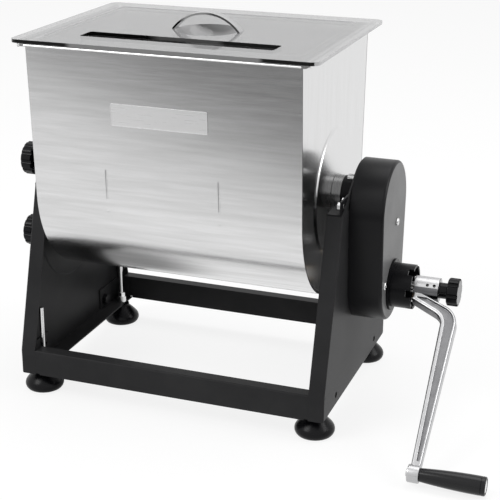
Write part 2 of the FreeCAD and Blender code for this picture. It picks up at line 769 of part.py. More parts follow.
def foot(x, y):
    """Rubber bell with a short cylindrical neck, flat underneath."""
    top = stand_bottom_z
    middle, sole = V(0, 0, 0), V(foot_sole_radius, 0, 0)
    widest = V(foot_radius, 0, foot_widest_z)
    bell_edge = V(foot_bell_radius, 0, foot_bell_z)
    slope_end = V(foot_slope_radius, 0, top - foot_slope_drop)
    hollow = V(foot_round_radius, 0, top - foot_round_drop)
    neck_low, neck_top = V(foot_neck_radius, 0, top - foot_neck_height), V(foot_neck_radius, 0, top)
    edges = [Part.makeLine(middle, sole),
             Part.Arc(sole, widest, bell_edge).toShape(),
             Part.makeLine(bell_edge, slope_end),
             Part.Arc(slope_end, hollow, neck_low).toShape(),
             Part.makeLine(neck_low, neck_top),
             Part.makeLine(neck_top, V(0, 0, top)),
             Part.makeLine(V(0, 0, top), middle)]
    bell = Part.Face(Part.Wire(edges)).revolve(V(0, 0, 0), V(0, 0, 1), 360)
    bell = bell.cut(rod_z(m6_radius + seat_gap, top - foot_socket, top + 1, 0, 0))
    bell.translate(V(x, y, 0))
    return bell


def foot_places():
    return [(x, y) for x in (-foot_x, foot_x) for y in (-foot_y, foot_y)]


def foot_studs():
    low = stand_bottom_z - foot_socket
    return [rod_z(m6_radius, low, stand_bottom_z + foot_stud_height, x, y) for x, y in foot_places()]


def weld_nuts():
    low = stand_bottom_z + plate_sheet
    nuts = []
    for x, y in foot_places():
        collar = rod_z(weld_nut_radius, low, low + weld_nut_height, x, y)
        nuts.append(collar.cut(rod_z(m6_radius + seat_gap, low - 1, low + weld_nut_height + 1, x, y)))
    return nuts


def lock_nuts():
    low = stand_bottom_z + plate_sheet + weld_nut_height
    nuts = []
    for x, y in foot_places():
        nut = hexagon_z(m6_flats, low, low + m6_nut_height, x, y)
        nuts.append(nut.cut(rod_z(m6_radius + seat_gap, low - 1, low + m6_nut_height + 1, x, y)))
    return nuts


# Bearings of the tank and the parts beside them

def housing(side):
    """Sleeve against the inside of the web, its spigot through the web."""
    shoulder = hub_right_end if side > 0 else hub_left_end
    start = shoulder + side * face_gap
    bore = journal_radius + running_gap + tilt_bush_wall + seat_gap
    body = rod_x(housing_radius, min(start, side * web_inner), max(start, side * web_inner), 0, shaft_axis_z)
    spigot_end = side * (web_outer + ring_nut_height)
    reach = sorted((side * (web_inner - 1), spigot_end))
    body = body.fuse(rod_x(housing_spigot_radius, reach[0], reach[1], 0, shaft_axis_z))
    through = sorted((start - side, spigot_end + side))
    return body.cut(rod_x(bore, through[0], through[1], 0, shaft_axis_z)).removeSplitter()


def tilt_bush(side):
    shoulder = hub_right_end if side > 0 else hub_left_end
    ends = sorted((shoulder + side * face_gap, side * web_outer))
    inner = journal_radius + running_gap
    return ring_x(inner + tilt_bush_wall, inner, ends[0], ends[1], 0, shaft_axis_z)


def ring_nut():
    nut = ring_x(ring_nut_radius, housing_spigot_radius + seat_gap, web_outer,
                 web_outer + ring_nut_height, 0, shaft_axis_z)
    for turn in range(0, 360, 90):
        notch = block(web_outer - 1, web_outer + ring_nut_height + 1, -ring_nut_notch / 2, ring_nut_notch / 2,
                      shaft_axis_z + ring_nut_radius - ring_nut_notch_depth,
                      shaft_axis_z + ring_nut_radius + 1)
        notch.rotate(V(0, 0, shaft_axis_z), V(1, 0, 0), turn)
        nut = nut.cut(notch)
    return nut


def pin_boss():
    """Outside boss of the pull pin, screwed on the spigot of the left housing."""
    flange = rod_x(ring_nut_radius, -web_outer - ring_nut_height, -web_outer, 0, shaft_axis_z)
    flange = flange.cut(rod_x(housing_spigot_radius + seat_gap, -web_outer - ring_nut_height,
                              -web_outer + 1, 0, shaft_axis_z))
    end = -web_outer - pin_boss_length
    step_start = -web_outer - ring_nut_height - pin_boss_step
    cap = rod_x(ring_nut_radius, step_start, -web_outer - ring_nut_height, 0, shaft_axis_z)
    tube = rod_x(pin_boss_radius, end, step_start + 1, 0, shaft_axis_z)
    boss = flange.fuse(cap).fuse(tube)
    bore = pull_pin_radius + running_gap
    return boss.cut(rod_x(bore, end - 1, -web_outer + 1, 0, shaft_axis_z)).removeSplitter()


def lock_boss():
    """Threaded boss of the lock screw, with a neck through the left web."""
    end = -web_outer - lock_boss_length
    boss = rod_x(lock_boss_radius, end, -web_outer, 0, lock_axis_z)
    neck = rod_x(lock_neck_radius, -web_outer - 1, -web_inner + pressed_disc_rise, 0, lock_axis_z)
    bore = rod_x(lock_stud_radius + running_gap, end - 1, 0, 0, lock_axis_z)
    return boss.fuse(neck).cut(bore).removeSplitter()


def stop_bracket():
    """Small angle on top of the right front flange."""
    y0, y1 = stop_bracket_y
    x0 = web_outer - flange_width
    x1 = web_inner - seat_gap
    foot_part = block(x0, x1, y0, y1, stop_bracket_z, stop_bracket_z + plate_sheet)
    wall = block(x1 - plate_sheet, x1, y0, y1, stop_bracket_z, stop_bracket_z + stop_bracket_height)
    bracket = foot_part.fuse(wall)
    for y in stop_bolt_y:
        bracket = bracket.cut(rod_x(m5_radius + seat_gap, x1 - 5, x1 + 5, y, stop_bolt_z))
    return bracket.removeSplitter()


def stop_bolts():
    bolts = []
    face = web_inner - seat_gap - plate_sheet
    for y in stop_bolt_y:
        head_x = face - washer_thickness
        head = hexagon_x(m5_flats, head_x - stop_bolt_head, head_x, y, stop_bolt_z)
        washer = rod_x(stop_washer_radius, head_x, face, y, stop_bolt_z)
        shank = rod_x(m5_radius, face - 1, web_inner, y, stop_bolt_z)
        bolts.append(head.fuse(washer).fuse(shank).removeSplitter())
    return bolts


def stop_stud():
    y, z = stop_stud_place
    return rod_x(stop_stud_radius, web_inner - stop_stud_length, web_outer, y, z)


# Gear case

def cover_section(x, inset):
    """Tapered obround of the cover at a station x, moved in by inset."""
    top, bottom = cover_top_radius - inset, cover_bottom_radius - inset
    height = cover_top_z - cover_bottom_z
    turn = math.asin((cover_top_radius - cover_bottom_radius) / height)
    ty, tz = top * math.cos(turn), cover_top_z - top * math.sin(turn)
    by, bz = bottom * math.cos(turn), cover_bottom_z - bottom * math.sin(turn)
    edges = [Part.Arc(V(x, ty, tz), V(x, 0, cover_top_z + top), V(x, -ty, tz)).toShape(),
             Part.makeLine(V(x, -ty, tz), V(x, -by, bz)),
             Part.Arc(V(x, -by, bz), V(x, 0, cover_bottom_z - bottom), V(x, by, bz)).toShape(),
             Part.makeLine(V(x, by, bz), V(x, ty, tz))]
    return Part.Face(Part.Wire(edges))


def gear_cover():
    solid = cover_section(web_outer + seat_gap, 0).extrude(V(cover_depth - seat_gap, 0, 0))
    front = [e for e in solid.Edges if min(v.X for v in e.Vertexes) > cover_outer_x - 0.01]
    solid = solid.makeFillet(cover_edge, front)
    hollow = cover_section(web_outer - 1, cover_sheet).extrude(V(cover_depth + 1 - cover_sheet, 0, 0))
    cover = solid.cut(hollow)
    hole = crank_bush_radius + cover_hole_gap
    cover = cover.cut(rod_x(hole, cover_outer_x - 5, cover_outer_x + 1, 0, crank_axis_z))
    for y, z in cover_screw_places:
        cover = cover.cut(rod_x(m5_radius + seat_gap, cover_outer_x - 5, cover_outer_x + 1, y, z))
    return cover.removeSplitter()


def crank_collar():
    """Black tube round the crank shaft, notched round its open end, on a flange."""
    start = cover_outer_x
    end = start + collar_length
    inner = collar_radius - collar_wall
    tube = ring_x(collar_radius, inner, start, end, 0, crank_axis_z)
    flange = ring_x(collar_flange_radius, crank_bush_radius + seat_gap, start, start + collar_flange,
                    0, crank_axis_z)
    collar = tube.fuse(flange)
    for i in range(collar_notches):
        notch = block(end - collar_notch_depth, end + 1, -collar_notch_width / 2, collar_notch_width / 2,
                      crank_axis_z + inner - 3, crank_axis_z + collar_radius + 3)
        notch.rotate(V(0, 0, crank_axis_z), V(1, 0, 0), (i + 0.5) * 360 / collar_notches)
        collar = collar.cut(notch)
    return collar.removeSplitter()


def bridge():
    plate = cover_section(bridge_start_x, bridge_inset).extrude(V(bridge_sheet, 0, 0))
    holes = [(drive_bush_radius + seat_gap, 0, shaft_axis_z),
             (idler_stud_radius + seat_gap, 0, idler_axis_z),
             (crank_bush_radius + seat_gap, 0, crank_axis_z)]
    holes += [(m5_radius + seat_gap, y, z) for y, z in pillar_places]
    holes += [(m5_radius + seat_gap, y, z) for y, z in cover_screw_places]
    for radius, y, z in holes:
        plate = plate.cut(rod_x(radius, bridge_start_x - 1, bridge_end_x + 1, y, z))
    return plate


def bridge_pillars():
    pillars = []
    for y, z in pillar_places:
        pillar = rod_x(pillar_radius, web_outer, bridge_start_x, y, z)
        pillar = pillar.fuse(rod_x(m5_radius, web_inner, web_outer + 1, y, z))
        thread_end = bridge_end_x if (y, z) in cover_screw_places else bridge_end_x + bridge_nut_height
        pillar = pillar.fuse(rod_x(m5_radius, bridge_start_x - 1, thread_end, y, z))
        pillars.append(pillar.removeSplitter())
    return pillars


def bridge_nuts():
    """Nuts on the pillars that carry no cover spacer."""
    free = [place for place in pillar_places if place not in cover_screw_places]
    return [hexagon_x(m5_flats, bridge_end_x, bridge_end_x + bridge_nut_height, y, z)
            .cut(rod_x(m5_radius + seat_gap, bridge_end_x - 1, bridge_end_x + bridge_nut_height + 1, y, z))
            for y, z in free]


def cover_spacers():
    start = bridge_end_x
    end = cover_outer_x - cover_sheet
    spacers = []
    for y, z in cover_screw_places:
        post = rod_x(pillar_radius, start, end, y, z)
        if (y, z) not in pillar_places:
            post = post.fuse(rod_x(m5_radius, bridge_start_x, start + 1, y, z))
        thread = rod_x(m5_radius + seat_gap, end - cover_screw_reach - 1, end + 1, y, z)
        spacers.append(post.cut(thread).removeSplitter())
    return spacers


def cover_screws():
    screws = []
    for y, z in cover_screw_places:
        head = rod_x(m5_head_radius, cover_outer_x, cover_outer_x + m5_head_height, y, z)
        rim = [e for e in head.Edges if min(v.X for v in e.Vertexes) > cover_outer_x + 1]
        head = head.makeFillet(m5_head_height * 0.6, rim)
        top = cover_outer_x + m5_head_height
        recess = hexagon_x(m5_socket_flats, top - m5_socket_depth, top + 1, y, z)
        tip = cover_outer_x - cover_sheet - cover_screw_reach
        shank = rod_x(m5_radius, tip, cover_outer_x + 0.5, y, z)
        screws.append(head.fuse(shank).cut(recess).removeSplitter())
    return screws


def flanged_bush(shaft, x0, x1, flange_x, y, z):
    """Bush with a thin flange that starts at flange_x."""
    outer = shaft + running_gap + bush_wall
    body = rod_x(outer, x0, x1, y, z)
    body = body.fuse(rod_x(outer + bush_flange_reach, flange_x, flange_x + bush_flange, y, z))
    low = min(x0, flange_x) - 1
    return body.cut(rod_x(shaft + running_gap, low, x1 + 1, y, z)).removeSplitter()


def crank_bushes():
    inner_end = web_outer + web_bush_reach
    outer_end = cover_outer_x + collar_flange + web_bush_reach
    inner = flanged_bush(crank_shaft_radius, web_inner, inner_end, web_outer, 0, crank_axis_z)
    outer = flanged_bush(crank_shaft_radius, bridge_start_x, outer_end, bridge_start_x - bush_flange,
                         0, crank_axis_z)
    return inner, outer


def drive_bush():
    end = bridge_end_x + drive_bush_reach
    return flanged_bush(drive_radius, bridge_start_x, end, bridge_start_x - bush_flange, 0, shaft_axis_z)


def idler_stud():
    stud = rod_x(idler_stud_radius, web_inner, bridge_end_x, 0, idler_axis_z)
    shoulder = idler_stud_radius + shaft_collar_reach
    inner = rod_x(shoulder, web_outer, gear_start_x - face_gap, 0, idler_axis_z)
    outer = rod_x(shoulder, gear_end_x + face_gap, bridge_start_x, 0, idler_axis_z)
    return stud.fuse(inner).fuse(outer).removeSplitter()


# Gears

def involute_point(base, radius):
    """Polar angle of an involute at a radius."""
    roll = math.sqrt(max((radius / base) ** 2 - 1, 0))
    return roll - math.atan(roll)


def gear(teeth, first_tooth, bore, z):
    """Spur gear on the X direction; first_tooth is the angle of one tooth, from +Y to +Z."""
    pitch = gear_module * teeth / 2
    base = pitch * math.cos(math.radians(pressure_angle))
    tip = pitch + gear_module
    root = pitch - gear_module * (1 + root_clearance)
    start = max(base, root)
    half = math.pi / (2 * teeth) - tooth_thinning / (2 * pitch)
    at_pitch = involute_point(base, pitch)

    def spot(radius, turn):
        return V(gear_start_x, radius * math.cos(turn), z + radius * math.sin(turn))

    def flank(radius, side, centre):
        return spot(radius, centre + side * (half + at_pitch - involute_point(base, radius)))

    middle = (start + tip) / 2
    edges = []
    step = 2 * math.pi / teeth
    for i in range(teeth):
        centre = math.radians(first_tooth) + i * step
        low_a, low_b = flank(start, -1, centre), flank(start, 1, centre)
        tip_a, tip_b = flank(tip, -1, centre), flank(tip, 1, centre)
        offset = half + at_pitch - involute_point(base, start)
        if root < start - 0.01:
            root_a, root_b = spot(root, centre - offset), spot(root, centre + offset)
            edges.append(Part.makeLine(root_a, low_a))
        else:
            root_b = low_b
        edges.append(Part.Arc(low_a, flank(middle, -1, centre), tip_a).toShape())
        edges.append(Part.Arc(tip_a, spot(tip, centre), tip_b).toShape())
        edges.append(Part.Arc(tip_b, flank(middle, 1, centre), low_b).toShape())
        if root < start - 0.01:
            edges.append(Part.makeLine(low_b, root_b))
        next_root = spot(min(root, start), centre + step - offset)
        edges.append(Part.Arc(root_b, spot(min(root, start), centre + step / 2), next_root).toShape())
    wheel = Part.Face(Part.Wire(edges)).extrude(V(gear_width, 0, 0))
    return wheel.cut(rod_x(bore, gear_start_x - 1, gear_end_x + 1, 0, z))


def keyway_cut(shape, radius, z):
    """Cuts a keyway on the upper side of a shaft or bore."""
    half = key_side / 2
    return shape.cut(block(gear_start_x, gear_end_x, -half, half, z + radius - half, z + radius + half))


def gear_key(radius, z):
    half = key_side / 2 - seat_gap
    return block(gear_start_x + seat_gap, gear_end_x - seat_gap, -half, half,
                 z + radius - half, z + radius + half)


def shaft_clip(radius, z):
    """Clip in a groove of the shaft, against the outer face of the gear."""
    x0 = gear_end_x + seat_gap
    inner = radius - clip_groove_depth + seat_gap
    clip = ring_x(radius + clip_reach, inner, x0, x0 + clip_thickness, 0, z)
    mouth = block(x0 - 1, x0 + clip_thickness + 1, -inner * clip_mouth, inner * clip_mouth,
                  z - radius - clip_reach - 1, z - inner * clip_hold)
    return clip.cut(mouth)


def clip_groove(shape, radius, z):
    width = clip_thickness + 2 * seat_gap
    return shape.cut(ring_x(radius + 2, radius - clip_groove_depth, gear_end_x, gear_end_x + width, 0, z))


# Paddle

def drive_shaft():
    end = bridge_end_x + drive_bush_reach
    shaft = rod_x(drive_radius, tang_face_x, end, 0, shaft_axis_z)
    collar = rod_x(drive_radius + shaft_collar_reach, web_outer + ring_nut_height + face_gap,
                   gear_start_x - seat_gap, 0, shaft_axis_z)
    half = tang_side / 2
    tang = block(tang_face_x - tang_length, tang_face_x + 1, -half, half, shaft_axis_z - half,
                 shaft_axis_z + half)
    shaft = shaft.fuse(collar).fuse(tang)
    shaft = keyway_cut(shaft, drive_radius, shaft_axis_z)
    return clip_groove(shaft, drive_radius, shaft_axis_z).removeSplitter()


def paddle_shaft():
    right = tang_face_x - face_gap
    shaft = rod_x(paddle_shaft_radius, paddle_left, right, 0, shaft_axis_z)
    half = tang_side / 2 + seat_gap
    socket = block(right - tang_length - 1, right + 1, -half, half, shaft_axis_z - half, shaft_axis_z + half)
    bore = rod_x(pull_pin_radius + running_gap, paddle_left - 1, paddle_left + pull_pin_reach + 3,
                 0, shaft_axis_z)
    shaft = shaft.cut(socket).cut(bore)
    for x, turn in arm_places():
        hole = Part.makeCylinder(paddle_arm_radius + seat_gap, paddle_shaft_radius + 5,
                                 V(x, 0, shaft_axis_z), V(0, 0, 1))
        hole.rotate(V(x, 0, shaft_axis_z), V(1, 0, 0), turn)
        shaft = shaft.cut(hole)
    return shaft


def arm_places():
    first = tank_left + paddle_end_room
    step = (tank_length - 2 * paddle_end_room) / (paddle_arms - 1)
    return [(first + i * step, paddle_first_turn + i * paddle_arm_turn) for i in range(paddle_arms)]


def turned_arm_part(shape, x, turn, hand):
    """Turns a part made on an upright arm at x about the arm, then about the shaft."""
    shape.rotate(V(x, 0, 0), V(0, 0, 1), hand * blade_angle)
    shape.rotate(V(x, 0, shaft_axis_z), V(1, 0, 0), turn)
    return shape


def paddle_arm(x, turn, hand):
    """Round arm in the shaft, flattened where it carries its blade."""
    blade_low = paddle_reach - blade_tip_room - blade_width
    end = blade_low + blade_width / 2 + paddle_arm_radius
    arm = Part.makeCylinder(paddle_arm_radius, end, V(x, 0, shaft_axis_z), V(0, 0, 1))
    flat = block(x, x + 2 * paddle_arm_radius, -2 * paddle_arm_radius, 2 * paddle_arm_radius,
                 shaft_axis_z + blade_low - face_gap, shaft_axis_z + end + 1)
    return turned_arm_part(arm.cut(flat), x, turn, hand)


def paddle_blade(x, turn, hand):
    """Flat blade on the arm's flattened end."""
    low = shaft_axis_z + paddle_reach - blade_tip_room - blade_width
    blade = block(x, x + blade_sheet, -blade_length / 2, blade_length / 2, low, low + blade_width)
    corners = [e for e in blade.Edges if abs(e.Vertexes[0].X - e.Vertexes[1].X) > blade_sheet / 2]
    return turned_arm_part(blade.makeFillet(blade_corner, corners), x, turn, hand)


def on_each_arm(make):
    return [make(x, turn, 1 if i % 2 else -1) for i, (x, turn) in enumerate(arm_places())]


# Crank

def crank_point(x, reach, across=0.0):
    """Point at a distance from the crank axis along the arm, and sideways of it."""
    return V(x, 0, crank_axis_z) + crank_direction * reach + crank_sideways * across


def arm_outline():
    """Side view of the arm as (x, distance from the crank axis), from its root in the hub to the boss."""
    start = hub_radius - arm_root_sink
    end = crank_radius - arm_tip_sink
    root_x = hub_start_x + arm_root_inset
    outer_root_x = hub_start_x + arm_root_length
    rise = (arm_outer_x - outer_root_x) / (arm_outer_bend - hub_radius)
    return [(root_x, start), (outer_root_x - rise * arm_root_sink, start),
            (arm_outer_x, arm_outer_bend), (arm_tip_x, end), (arm_tip_x - arm_thickness_tip, end),
            (arm_outer_x - arm_thickness_root, arm_bend), (root_x, hub_radius + arm_root_depth)]


def arm_side_face(outline, outer_round, tip_round, inner_round, across):
    """The arm's side view as a face at a distance sideways, with round bends."""
    points = [crank_point(x, reach, across) for x, reach in outline]
    return rounded_face(points, [0, 0, outer_round, tip_round, tip_round, inner_round, 0])


def crank_arm():
    """Crank casting: hub, arm with a groove along each side and a boss for the grip."""
    half = arm_width_root / 2
    outline = arm_outline()
    arm = arm_side_face(outline, arm_outer_round, 0, arm_inner_round, -half)
    arm = arm.extrude(crank_sideways * arm_width_root)
    distances = [arm_root_sink + arm_groove_start, arm_outer_rim, arm_outer_rim,
                 arm_boss_radius + arm_groove_end - arm_tip_sink, arm_inner_rim, arm_inner_rim,
                 arm_groove_inset]
    groove_line = moved_in(outline, distances)
    taper = (arm_width_root - arm_width_tip) / 2
    far = half + arm_cut_room
    for side in (-1, 1):
        wedge = [crank_point(hub_start_x, arm_bend, side * half),
                 crank_point(hub_start_x, crank_radius, side * (half - taper)),
                 crank_point(hub_start_x, crank_radius, side * far),
                 crank_point(hub_start_x, arm_bend, side * far)]
        arm = arm.cut(polygon_solid(wedge, V(arm_outer_x + arm_cut_room - hub_start_x, 0, 0)))
        floor = side * (half - arm_groove_depth)
        groove = arm_side_face(groove_line, arm_outer_round - arm_outer_rim, arm_groove_round,
                               arm_inner_round + arm_inner_rim, floor)
        arm = arm.cut(groove.extrude(crank_sideways * (side * (arm_groove_depth + arm_cut_room))))
    boss_at = crank_point(boss_end_x - arm_boss_length, crank_radius)
    boss = rod_x(arm_boss_radius, boss_at.x, boss_end_x, boss_at.y, boss_at.z)
    hub_part = rod_x(hub_radius, hub_start_x, hub_end_x, 0, crank_axis_z)
    arm = arm.fuse(boss).fuse(hub_part)
    bore = rod_x(crank_shaft_radius + seat_gap, hub_start_x - 1, hub_end_x - hub_cap, 0, crank_axis_z)
    stud_hole = rod_x(knob_stud_radius + running_gap, hub_start_x, hub_end_x + 1, 0, crank_axis_z)
    axle_hole = rod_x(axle_radius + seat_gap, boss_at.x - 1, boss_end_x + 1, boss_at.y, boss_at.z)
    arm = arm.cut(bore).cut(stud_hole).cut(axle_hole)
    for hole in hub_pin_holes(hub_pin_radius + seat_gap):
        arm = arm.cut(hole)
    notch = block(hub_end_x - hub_notch_depth, hub_end_x + 1, -hub_notch_width / 2, hub_notch_width / 2,
                  hub_radius - hub_notch_bite, hub_radius + 1)
    notch.rotate(V(0, 0, 0), V(1, 0, 0), hub_notch_angle)
    notch.translate(V(0, 0, crank_axis_z))
    return arm.cut(notch).removeSplitter()


def hub_pin_places():
    return [hub_start_x + offset for offset in hub_pin_offsets]


def hub_pin_holes(radius):
    """Cross holes of the hub, through its upper front side to the middle of the shaft."""
    holes = []
    for x in hub_pin_places():
        hole = Part.makeCylinder(radius, hub_radius + 2, V(x, 0, 0), V(0, 0, 1))
        hole.rotate(V(x, 0, 0), V(1, 0, 0), hub_pin_angle)
        hole.translate(V(0, 0, crank_axis_z))
        holes.append(hole)
    return holes


def hub_pins():
    """Pins in the cross holes, a little below the surface of the hub."""
    pins = []
    for x in hub_pin_places():
        length = hub_radius - hub_pin_sink - hub_pin_start
        pin = Part.makeCylinder(hub_pin_radius, length, V(x, 0, hub_pin_start), V(0, 0, 1))
        pin.rotate(V(x, 0, 0), V(1, 0, 0), hub_pin_angle)
        pin.translate(V(0, 0, crank_axis_z))
        pins.append(pin)
    return pins


def crank_shaft():
    start = web_inner
    end = hub_end_x - hub_cap - seat_gap
    shaft = rod_x(crank_shaft_radius, start, end, 0, crank_axis_z)
    stud_hole_start = end - star_stud_reach - hub_pin_radius
    shaft = shaft.cut(rod_x(knob_stud_radius + running_gap, stud_hole_start, end + 1, 0, crank_axis_z))
    shaft = keyway_cut(shaft, crank_shaft_radius, crank_axis_z)
    shaft = clip_groove(shaft, crank_shaft_radius, crank_axis_z)
    for hole in hub_pin_holes(hub_pin_radius + seat_gap):
        shaft = shaft.cut(hole)
    collar = ring_x(crank_shaft_radius + shaft_collar_reach, crank_shaft_radius - 1,
                    web_outer + web_bush_reach + face_gap, gear_start_x - seat_gap, 0, crank_axis_z)
    return shaft.fuse(collar).removeSplitter()


def grip_axle():
    at = crank_point(0, crank_radius)
    start = boss_end_x - arm_boss_length
    return rod_x(axle_radius, start, axle_end_x, at.y, at.z)


def grip_sleeve():
    """Barrel grip, slim at the arm and full at the end, with a rounded end."""
    at = crank_point(0, crank_radius)
    start, end = grip_start_x, grip_end_x
    bore = axle_radius + running_gap
    middle_x = (start + end) / 2
    middle_radius = (grip_root_radius + grip_tip_radius) / 2 + grip_belly
    shoulder = end - grip_end_round
    bulge = grip_end_round * 0.3

    def p(x, radius):
        return V(x, at.y + radius, at.z)

    root_face = p(start, grip_root_radius - grip_root_edge)
    root = p(start + grip_root_edge, grip_root_radius)
    edges = [Part.makeLine(p(start, bore), root_face),
             Part.makeLine(root_face, root),
             Part.Arc(root, p(middle_x, middle_radius), p(shoulder, grip_tip_radius)).toShape(),
             Part.Arc(p(shoulder, grip_tip_radius), p(end - bulge, grip_tip_radius - bulge),
                      p(end, grip_tip_radius - grip_end_round)).toShape(),
             Part.makeLine(p(end, grip_tip_radius - grip_end_round), p(end, grip_recess_radius)),
             Part.makeLine(p(end, grip_recess_radius), p(end - grip_recess, grip_recess_radius)),
             Part.makeLine(p(end - grip_recess, grip_recess_radius), p(end - grip_recess, bore)),
             Part.makeLine(p(end - grip_recess, bore), p(start, bore))]
    return Part.Face(Part.Wire(edges)).revolve(V(0, at.y, at.z), V(1, 0, 0), 360)


def grip_cap():
    """Cap pressed on the end of the axle, in the recess of the grip."""
    at = crank_point(0, crank_radius)
    start = cap_start_x
    cap = rod_x(grip_cap_radius, start, start + grip_cap_height, at.y, at.z)
    rim = [e for e in cap.Edges if min(v.X for v in e.Vertexes) > start + 1]
    cap = cap.makeFillet(grip_cap_height * 0.6, rim)
    return cap.cut(rod_x(axle_radius + seat_gap, start - 1, axle_end_x + seat_gap, at.y, at.z))


def star_knob():
    """Lobed knob with a round neck, outside the hub."""
    start = star_start_x
    face = start + star_neck_length
    end = face + star_length
    neck = rod_x(star_neck_radius, start, face + 1, 0, crank_axis_z)
    head = rod_x(star_radius, face, end, 0, crank_axis_z)
    rims = [e for e in head.Edges if len(e.Vertexes) == 1]
    head = head.makeFillet(star_edge, rims)
    valley = star_radius * math.pi / star_lobes * star_valley_share
    for i in range(star_lobes):
        turn = 2 * math.pi * (i + 0.5) / star_lobes
        reach = star_radius + valley - star_lobe_depth
        cut = rod_x(valley, face - 1, end + 1, reach * math.cos(turn),
                    crank_axis_z + reach * math.sin(turn))
        head = head.cut(cut)
    knob = neck.fuse(head)
    bore = rod_x(knob_stud_radius + running_gap, start - 1, end - knob_wall, 0, crank_axis_z)
    return knob.cut(bore).removeSplitter()


def star_stud():
    start = hub_end_x - hub_cap - star_stud_reach
    end = star_start_x + star_neck_length + star_length - knob_wall - seat_gap
    return rod_x(knob_stud_radius, start, end, 0, crank_axis_z)


# Left knobs

def fluted_knob(radius, x0, x1, bore, bore_depth, z):
    """Round knob with flutes round its rim, its open side at x1."""
    knob = rod_x(radius, x0, x1, 0, z)
    rims = [e for e in knob.Edges if len(e.Vertexes) == 1]
    knob = knob.makeFillet(knob_edge, rims)
    for i in range(knob_flutes):
        turn = 2 * math.pi * i / knob_flutes
        reach = radius + knob_flute_out
        knob = knob.cut(rod_x(knob_flute_radius, x0 - 1, x1 + 1, reach * math.cos(turn),
                              z + reach * math.sin(turn)))
    return knob.cut(rod_x(bore, x1 - bore_depth, x1 + 1, 0, z))


def pull_knob():
    return fluted_knob(pull_knob_radius, pull_knob_face - pull_knob_length, pull_knob_face,
                       pull_pin_radius + seat_gap, pull_knob_length - knob_wall, shaft_axis_z)


def pull_pin():
    start = pull_knob_face - pull_knob_length + knob_wall + seat_gap
    return rod_x(pull_pin_radius, start, paddle_left + pull_pin_reach, 0, shaft_axis_z)


def lock_knob():
    return fluted_knob(lock_knob_radius, lock_knob_face - lock_knob_length, lock_knob_face,
                       lock_stud_radius + running_gap, lock_knob_length - knob_wall, lock_axis_z)


def lock_stud():
    """Stud of the lock screw with the pad that bears on the tank."""
    start = lock_knob_face - lock_knob_length + knob_wall + seat_gap
    pad_face = tank_left - pad_gap
    stud = rod_x(lock_stud_radius, start, pad_face - lock_pad_thickness + 1, 0, lock_axis_z)
    pad = rod_x(lock_pad_radius, pad_face - lock_pad_thickness, pad_face, 0, lock_axis_z)
    return stud.fuse(pad).removeSplitter()


def main():
    os.makedirs("parts", exist_ok=True)

    save("tank_trough", tank_trough())
    save("tank_end_left", end_plate(-1))
    save("tank_end_right", end_plate(1))
    save("tank_hub_left", hub(-1))
    save("tank_hub_right", hub(1))
    save("hub_bushes", hub_bush(-1), hub_bush(1))
    save("hub_seals", hub_seal(-1), hub_seal(1))
    save("nameplate", nameplate())
    save("lid_panel", lid_panel())
    save("lid_handle", lid_handle())

    save("side_plate_left", left_plate())
    save("side_plate_right", right_plate())
    save("front_bar", cross_bar(-1, front_bar_height))
    save("rear_bar", cross_bar(1, rear_bar_height))
    save("bar_bolts", *bar_bolts())
    save("rubber_feet", *[foot(x, y) for x, y in foot_places()])
    save("foot_studs", *foot_studs())
    save("foot_weld_nuts", *weld_nuts())
    save("foot_lock_nuts", *lock_nuts())
    save("bearing_housing_left", housing(-1))
    save("bearing_housing_right", housing(1))
    save("tilt_bushes", tilt_bush(-1), tilt_bush(1))
    save("housing_ring_nut", ring_nut())
    save("pin_boss", pin_boss())
    save("lock_boss", lock_boss())
    save("stop_bracket", stop_bracket())
    save("stop_bolts", stop_stud(), *stop_bolts())

    save("gear_cover", gear_cover())
    save("cover_screws", *cover_screws())
    save("cover_spacers", *cover_spacers())
    save("crank_collar", crank_collar())
    save("gear_bridge", bridge())
    save("bridge_pillars", *bridge_pillars())
    save("bridge_nuts", *bridge_nuts())
    save("shaft_bushes", drive_bush(), *crank_bushes())
    save("idler_stud", idler_stud())

    wheel = gear(wheel_teeth, tooth_down, drive_radius + seat_gap, shaft_axis_z)
    save("shaft_gear", keyway_cut(wheel, drive_radius, shaft_axis_z))
    bush_outer = idler_stud_radius + running_gap + idler_bush_wall
    half_idler_pitch = 180.0 / idler_teeth
    save("idler_gear", gear(idler_teeth, tooth_down + half_idler_pitch, bush_outer + seat_gap, idler_axis_z))
    save("idler_bush", ring_x(bush_outer, idler_stud_radius + running_gap, gear_start_x, gear_end_x,
                              0, idler_axis_z))
    pinion = gear(pinion_teeth, tooth_up, crank_shaft_radius + seat_gap, crank_axis_z)
    save("crank_pinion", keyway_cut(pinion, crank_shaft_radius, crank_axis_z))
    save("drive_key", gear_key(drive_radius, shaft_axis_z))
    save("crank_key", gear_key(crank_shaft_radius, crank_axis_z))
    save("drive_clip", shaft_clip(drive_radius, shaft_axis_z))
    save("crank_clip", shaft_clip(crank_shaft_radius, crank_axis_z))

    save("drive_shaft", drive_shaft())
    save("paddle_shaft", paddle_shaft())
    save("paddle_arms", *on_each_arm(paddle_arm))
    save("paddle_blades", *on_each_arm(paddle_blade))

    save("crank_shaft", crank_shaft())
    save("crank_arm", crank_arm())
    save("hub_pins", *hub_pins())
    save("grip_axle", grip_axle())
    save("grip_sleeve", grip_sleeve())
    save("grip_cap", grip_cap())
    save("star_knob", star_knob())
    save("star_stud", star_stud())

    save("pull_pin", pull_pin())
    save("pull_knob", pull_knob())
    save("lock_stud", lock_stud())
    save("lock_knob", lock_knob())


main()
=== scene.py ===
import bpy
import json
import math
from mathutils import Matrix, Vector
from mathutils.geometry import intersect_line_line

